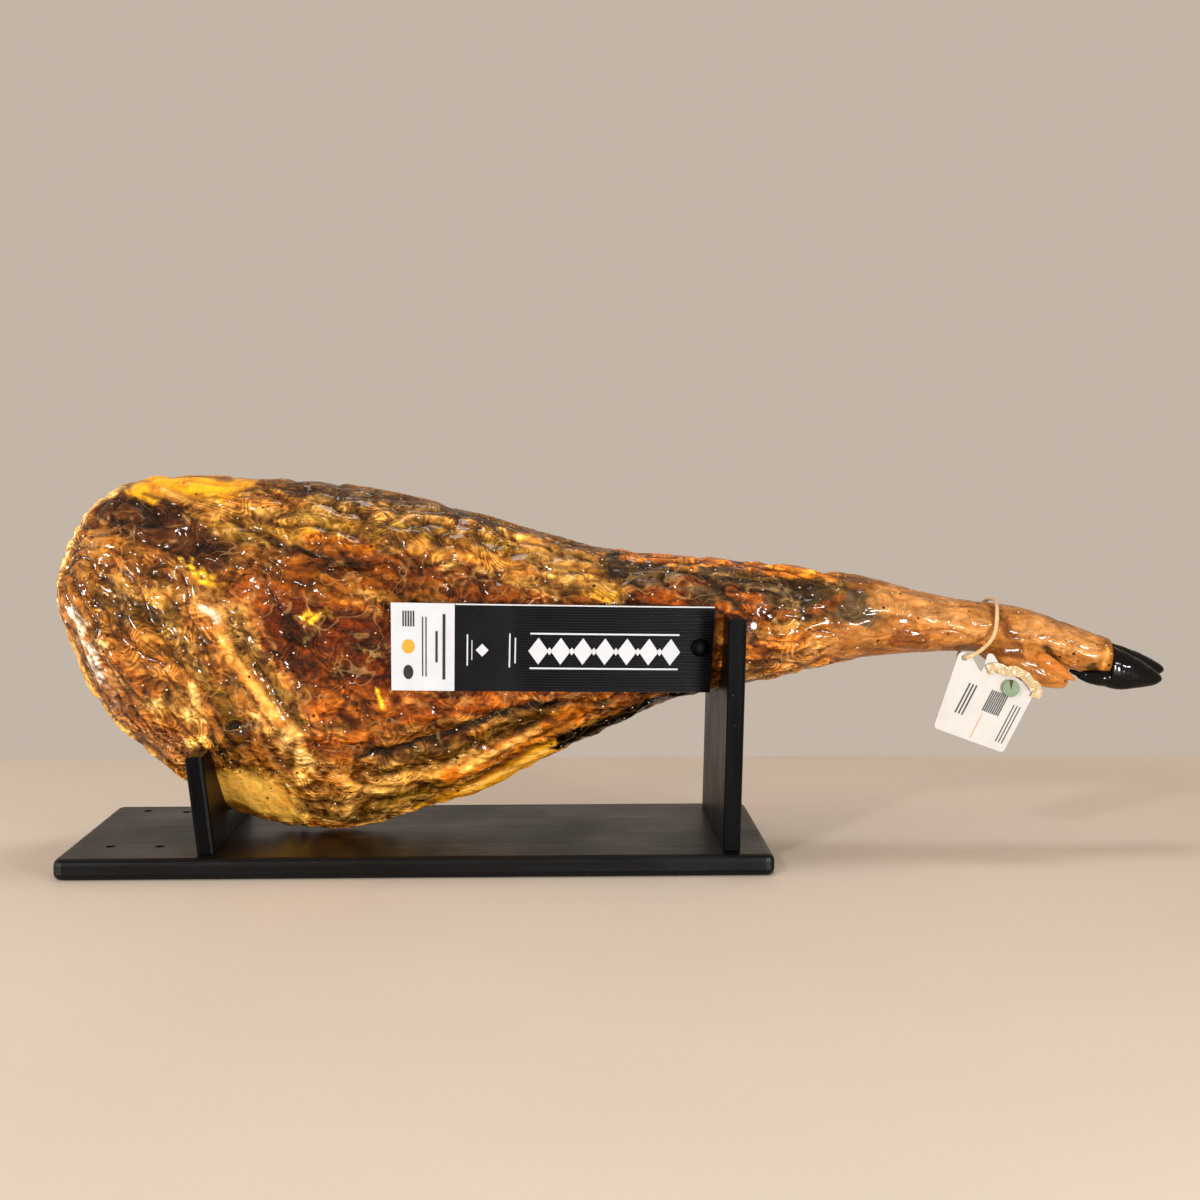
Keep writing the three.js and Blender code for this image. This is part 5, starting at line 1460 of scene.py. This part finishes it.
def strap_surface():
    """A crumpled strip: a flat section carried along its path. Its width is bent by the product of
    two waves and its face by two noises."""
    path = curve_points(STRAP_PATH, STRAP["rows"])
    along = unit(np.gradient(path, axis=0))
    across = unit(np.cross(np.array([0, 1.0, 0]), along))
    share = np.linspace(-1, 1, STRAP["columns"])
    step = np.linspace(0, 1, len(path))
    long_wave = np.sin(STRAP_CRUMPLE["long_waves"] * step + STRAP_CRUMPLE["turn"])
    waves = long_wave * np.cos(STRAP_CRUMPLE["short_waves"] * step)
    width = STRAP["width"] / 2 * (1 + STRAP_CRUMPLE["share"] * waves)
    middle = path[:, None] + across[:, None] * (width[:, None] * share)[..., None]
    middle[..., 1] += sum(reach * noise(middle, cell, seed) for reach, cell, seed in STRAP_FOLDS)
    depth = np.array([0, STRAP["thickness"], 0])
    return slab(middle - depth, middle + depth)


def tag_point(u, v, lift):
    """Point over the tag's front at u across and v up, in millimetres from its lower right corner."""
    corner = np.array(TAG["corner"], float)
    left = unit(np.array(TAG["along"], float) - corner)
    up = unit(np.array(TAG["up"], float) - corner)
    flat = corner + u[..., None] * left + v[..., None] * up
    return np.stack([flat[..., 0], np.full(u.shape, TAG["front"] - lift), flat[..., 1]], axis=-1)


def tag_patch(right, left, bottom, top):
    """A thin plate on the tag's front."""
    steps = PRINT_STEPS["tag"]
    u, v = np.meshgrid(np.linspace(left, right, steps), np.linspace(bottom, top, steps))
    return slab(tag_point(u, v, TAG_PRINT_FRONT), tag_point(u, v, TAG_PRINT_BACK))


def seal_slot_shadow_surface():
    """A painted shadow in the seal's slot: a dark wedge that narrows evenly towards the middle."""
    rows = np.linspace(SEAL_SLOT_SHADOW["foot"], 1, SEAL_SLOT_SHADOW["rows"])
    width, height = np.meshgrid(np.array([1.0, 0, -1.0]), rows)
    x = SEAL_SLOT_SHADOW["x"] + SEAL_SLOT_SHADOW["half"] * width * height
    z = SEAL_SLOT_SHADOW["z"] + SEAL_SLOT_SHADOW["top"] * height
    return slab(*(np.stack([x, np.full(x.shape, SEAL_SLOT_SHADOW[side]), z], axis=-1) for side in ("front", "back")))


# Settings

def number_setting(name, description, default, low, high):
    """A number among the settings."""
    return FloatProperty(name=name, description=description, default=default, min=low, max=high)


def colour_setting(name, description, *screen):
    """A colour among the settings, from its screen colour."""
    return FloatVectorProperty(
        name=name, description=description, subtype="COLOR", size=3, default=srgb(*screen), min=0.0, max=1.0)


class HamMeatSettings(bpy.types.PropertyGroup):
    """Surface of the ham"""
    relief: number_setting(
        "Fine relief", "Height of lumps, streaks, creases and threads, as a share", 1.0, 0.0, 1.5)
    roughness: number_setting("Roughness", "Middle roughness of the meat", 0.3, 0.1, 0.8)
    oil: number_setting("Oil", "Weight of the glossy coat of oil", 0.35, 0.0, 1.0)
    ring_count: number_setting(
        "Fingerprint lines", "How closely the curling lines follow each other", 80.0, 0.0, 120.0)
    # The next two colours are painted highlights: white dots as glints, and pale threads
    glint_colour: colour_setting("Bead colour", "Colour of the beads of fat", 255, 238, 214)
    thread_highlight_colour: colour_setting("Thread colour", "Colour of the fine pale threads", 230, 180, 110)
    pore_colour: colour_setting("Pore colour", "Colour of the small dark pores", 46, 24, 10)


class HamStandSettings(bpy.types.PropertyGroup):
    """Finish of the wooden boards"""
    board_colour: colour_setting("Board colour", "Colour of the lacquered wood", 7, 7, 8)
    board_roughness: number_setting("Board roughness", "Middle roughness of the lacquer", 0.36, 0.1, 0.9)


class HamLabelSettings(bpy.types.PropertyGroup):
    """Label card on the near side"""
    card_colour: colour_setting("Card colour", "Colour of the ribbed part", 9, 9, 12)
    panel_colour: colour_setting(
        "Panel colour", "Colour of the white panel and of the card's core", 194, 196, 200)
    rib_pitch: number_setting("Rib pitch", "Distance from rib to rib in millimetres", 1.9, 1.0, 6.0)
    rib_height: number_setting("Rib height", "Height of a rib in millimetres", 0.45, 0.0, 1.0)
    # Painted highlight: how many times paler the rib crests are painted
    rib_highlight: number_setting(
        "Rib contrast", "How many times paler a rib's crest is than its grooves", 4.0, 1.0, 10.0)


class HamTagSettings(bpy.types.PropertyGroup):
    """Hang tag, its band, seal and strap"""
    tag_colour: colour_setting("Tag colour", "Colour of the coated card", 190, 186, 180)
    loop_colour: colour_setting("Band colour", "Colour of the band round the shank", 214, 176, 126)
    with_print: BoolProperty(name="Print", description="Adds generic lines and bars to the tag", default=True)


class HamStageSettings(bpy.types.PropertyGroup):
    """Floor, light and camera"""
    floor_colour: colour_setting("Floor colour", "Colour of the plain floor", 222, 209, 193)
    wall_colour: colour_setting("Surroundings", "Colour of the light from all round", 205, 190, 175)
    key_power: number_setting("Main light", "Power of the main light in watts", 18.0, 0.0, 200.0)


# Operators

class HAM_OT_meat(bpy.types.Operator):
    """Adds the ham: meat, fat, rind and skin in one surface"""
    bl_idname = "ham_stand.meat"
    bl_label = "Ham"

    def execute(self, context):
        settings = context.scene.ham_meat
        vertices, faces, colours, smoothness = ham_surface(settings)
        meat = meat_material(settings)
        piece = make_piece("ham_shape", vertices, faces, [meat], "cured_ham", ["ham"], sharp=180)
        add_colours(piece, "paint", colours)
        add_values(piece, "smoothness", smoothness)
        return {"FINISHED"}


class HAM_OT_hooves(bpy.types.Operator):
    """Adds both claws of the hoof, each with its heel"""
    bl_idname = "ham_stand.hooves"
    bl_label = "Hooves"

    def execute(self, context):
        horn = horn_material("black horn", HOOF, HOOF_TIP)
        for name, place in CLAWS.items():
            surface = joined([claw_surface(place), heel_surface(place)])
            make_piece(name + "_shape", *surface, [horn], "hoof_horn", [name], sharp=60)
        return {"FINISHED"}


class HAM_OT_dewclaws(bpy.types.Operator):
    """Adds the two small claws behind the hoof"""
    bl_idname = "ham_stand.dewclaws"
    bl_label = "Dew claws"

    def execute(self, context):
        horn = horn_material("amber horn", DEWCLAW, DEWCLAW_TIP)
        for name, form in DEWCLAWS.items():
            surface = closed_skin(*pod_grid(form, horn_fullness, HORN["rings"], HORN["sides"]))
            make_piece(name + "_shape", *surface, [horn], "dewclaw_horn", [name], sharp=60)
        return {"FINISHED"}


class HAM_OT_boards(bpy.types.Operator):
    """Finishes the three boards in black lacquer"""
    bl_idname = "ham_stand.boards"
    bl_label = "Boards"

    def execute(self, context):
        settings = context.scene.ham_boards
        level = wood_material(settings, "black wood, grain lengthwise", 0, WOOD["shine_level"])
        dress_node("base_board", level)
        upright = wood_material(settings, "black wood, grain upright", 2, WOOD["shine_upright"])
        for name in ("butt_board", "shank_board"):
            dress_node(name, upright)
        return {"FINISHED"}


class HAM_OT_label(bpy.types.Operator):
    """Adds the label card, its plain print and its stud"""
    bl_idname = "ham_stand.label"
    bl_label = "Label"

    def execute(self, context):
        add_label_card()
        add_label_print()
        black = card_material("black stud", STUD_BLACK, roughness=0.4, relief=0.0001, shine=0.03)
        make_piece("label_stud_shape", *stud_surface(), [black], "stud_black", ["label_stud"], sharp=60)
        return {"FINISHED"}


class HAM_OT_hang_tag(bpy.types.Operator):
    """Adds the band, the tag's print, the seal and the strap"""
    bl_idname = "ham_stand.hang_tag"
    bl_label = "Hang tag"

    def execute(self, context):
        settings = context.scene.ham_tag
        band = film_material("cream band", settings.loop_colour, roughness=0.45)
        make_piece("tag_loop_shape", *loop_surface(), [band], "loop_cream", ["tag_loop"], sharp=180)
        dress_node("hang_tag", card_material("tag card", settings.tag_colour))
        dress_node("seal_disc", card_material("green seal", SEAL_GREEN))
        strap = film_material("cream strap", STRAP_CREAM, roughness=0.3)
        make_piece("seal_strap_shape", *strap_surface(), [strap], "strap_cream", ["seal_strap"], sharp=50)
        # A dark plate in the seal's slot as painted shadow
        slot_shadow_finish = card_material("seal slot shadow", SLOT_SHADOW_BROWN)
        make_piece("seal_slot_shadow", *seal_slot_shadow_surface(), [slot_shadow_finish], "seal_green")
        if settings.with_print:
            ink = card_material("tag print", TAG_INK, roughness=0.55)
            lines = [tag_patch(*place) for group in TAG_STRIPES for place in stripes(*group)]
            make_piece("tag_print", *joined(lines), [ink], "tag_white")
            rule = card_material("tag rule", TAG_ORANGE, roughness=0.55)
            make_piece("tag_rule", *tag_patch(*TAG_RULE), [rule], "tag_white")
        return {"FINISHED"}


class HAM_OT_stage(bpy.types.Operator):
    """Adds the plain floor, the soft lights and the camera"""
    bl_idname = "ham_stand.stage"
    bl_label = "Stage"

    def execute(self, context):
        settings = context.scene.ham_stage
        self.add_floor(settings)
        for name, place, size, share in STUDIO_LIGHTS:
            self.add_light(name, place, size, settings.key_power * share)
        self.add_surroundings(context, settings)
        self.add_camera(context)
        return {"FINISHED"}

    def add_floor(self, settings):
        """One flat face with faint clouds in its colour."""
        left, right, front, back = FLOOR_EDGES
        mesh = bpy.data.meshes.new("floor")
        corners = [(left, front, 0), (right, front, 0), (right, back, 0), (left, back, 0)]
        mesh.from_pydata(corners, [], [(0, 1, 2, 3)])
        tree = Tree("pale floor")
        cloud = tree.ranged(tree.noise(*FLOOR["cloud"]), *MOTTLE_EDGE)
        dark = shaded(settings.floor_colour, FLOOR["dark"])
        shade = tree.mix(cloud, dark, tuple(settings.floor_colour))
        mesh.materials.append(tree.finish({"Base Color": shade, "Roughness": FLOOR["roughness"]}))
        floor = bpy.data.objects.new("floor", mesh)
        bpy.context.scene.collection.objects.link(floor)

    def add_light(self, name, place, size, power):
        """A round lamp that points at the aim."""
        lamp = bpy.data.lights.new(name, "AREA")
        lamp.shape = "DISK"
        lamp.size = size
        lamp.energy = power
        light = bpy.data.objects.new(name, lamp)
        light.location = place
        aim = np.array(LIGHTS_AIM) - np.array(place)
        light.rotation_euler = (
            math.atan2(math.hypot(aim[0], aim[1]), -aim[2]), 0, math.atan2(aim[1], aim[0]) - math.pi / 2)
        bpy.context.scene.collection.objects.link(light)

    def add_surroundings(self, context, settings):
        """Even light from all round."""
        world = bpy.data.worlds.new("studio")
        world.use_nodes = True
        background = world.node_tree.nodes["Background"]
        background.inputs["Color"].default_value = (*settings.wall_colour, 1)
        background.inputs["Strength"].default_value = SURROUNDINGS_STRENGTH
        context.scene.world = world
        context.scene.view_settings.view_transform = "Standard"

    def add_camera(self, context):
        """The camera that took the photo, as fitted to the base board."""
        camera = bpy.data.objects.new("camera", bpy.data.cameras.new("camera"))
        camera.data.lens = CAMERA["lens"]
        camera.data.sensor_width = CAMERA["sensor"]
        camera.location = CAMERA["place"]
        camera.rotation_euler = (math.radians(CAMERA["tilt"]), 0, math.radians(CAMERA["turn"]))
        context.scene.collection.objects.link(camera)
        context.scene.camera = camera


class HAM_PT_panel(bpy.types.Panel):
    """Lists the pieces"""
    bl_idname = "HAM_PT_panel"
    bl_label = "Cured ham"
    bl_space_type = "VIEW_3D"
    bl_region_type = "UI"
    bl_category = "Ham"

    def draw(self, context):
        layout = self.layout
        for operator in OPERATORS:
            layout.operator(operator.bl_idname)
        for name, kind in SETTINGS.items():
            box = layout.box()
            box.label(text=kind.__doc__)
            for key in kind.__annotations__:
                box.prop(getattr(context.scene, name), key)


SETTINGS = {
    "ham_meat": HamMeatSettings,
    "ham_boards": HamStandSettings,
    "ham_label": HamLabelSettings,
    "ham_tag": HamTagSettings,
    "ham_stage": HamStageSettings,
}
OPERATORS = (
    HAM_OT_stage, HAM_OT_meat, HAM_OT_hooves, HAM_OT_dewclaws, HAM_OT_boards, HAM_OT_label, HAM_OT_hang_tag,
)


def register():
    """Adds the settings, operators and panel to Blender."""
    for kind in (*SETTINGS.values(), *OPERATORS, HAM_PT_panel):
        bpy.utils.register_class(kind)
    for name, kind in SETTINGS.items():
        setattr(bpy.types.Scene, name, PointerProperty(type=kind))


def unregister():
    """Takes them out again."""
    for name in SETTINGS:
        delattr(bpy.types.Scene, name)
    for kind in reversed((*SETTINGS.values(), *OPERATORS, HAM_PT_panel)):
        bpy.utils.unregister_class(kind)


def main():
    register()
    bpy.ops.ham_stand.stage()
    bpy.ops.ham_stand.meat()
    bpy.ops.ham_stand.hooves()
    bpy.ops.ham_stand.dewclaws()
    bpy.ops.ham_stand.boards()
    bpy.ops.ham_stand.label()
    bpy.ops.ham_stand.hang_tag()


if __name__ == "__main__":
    main()
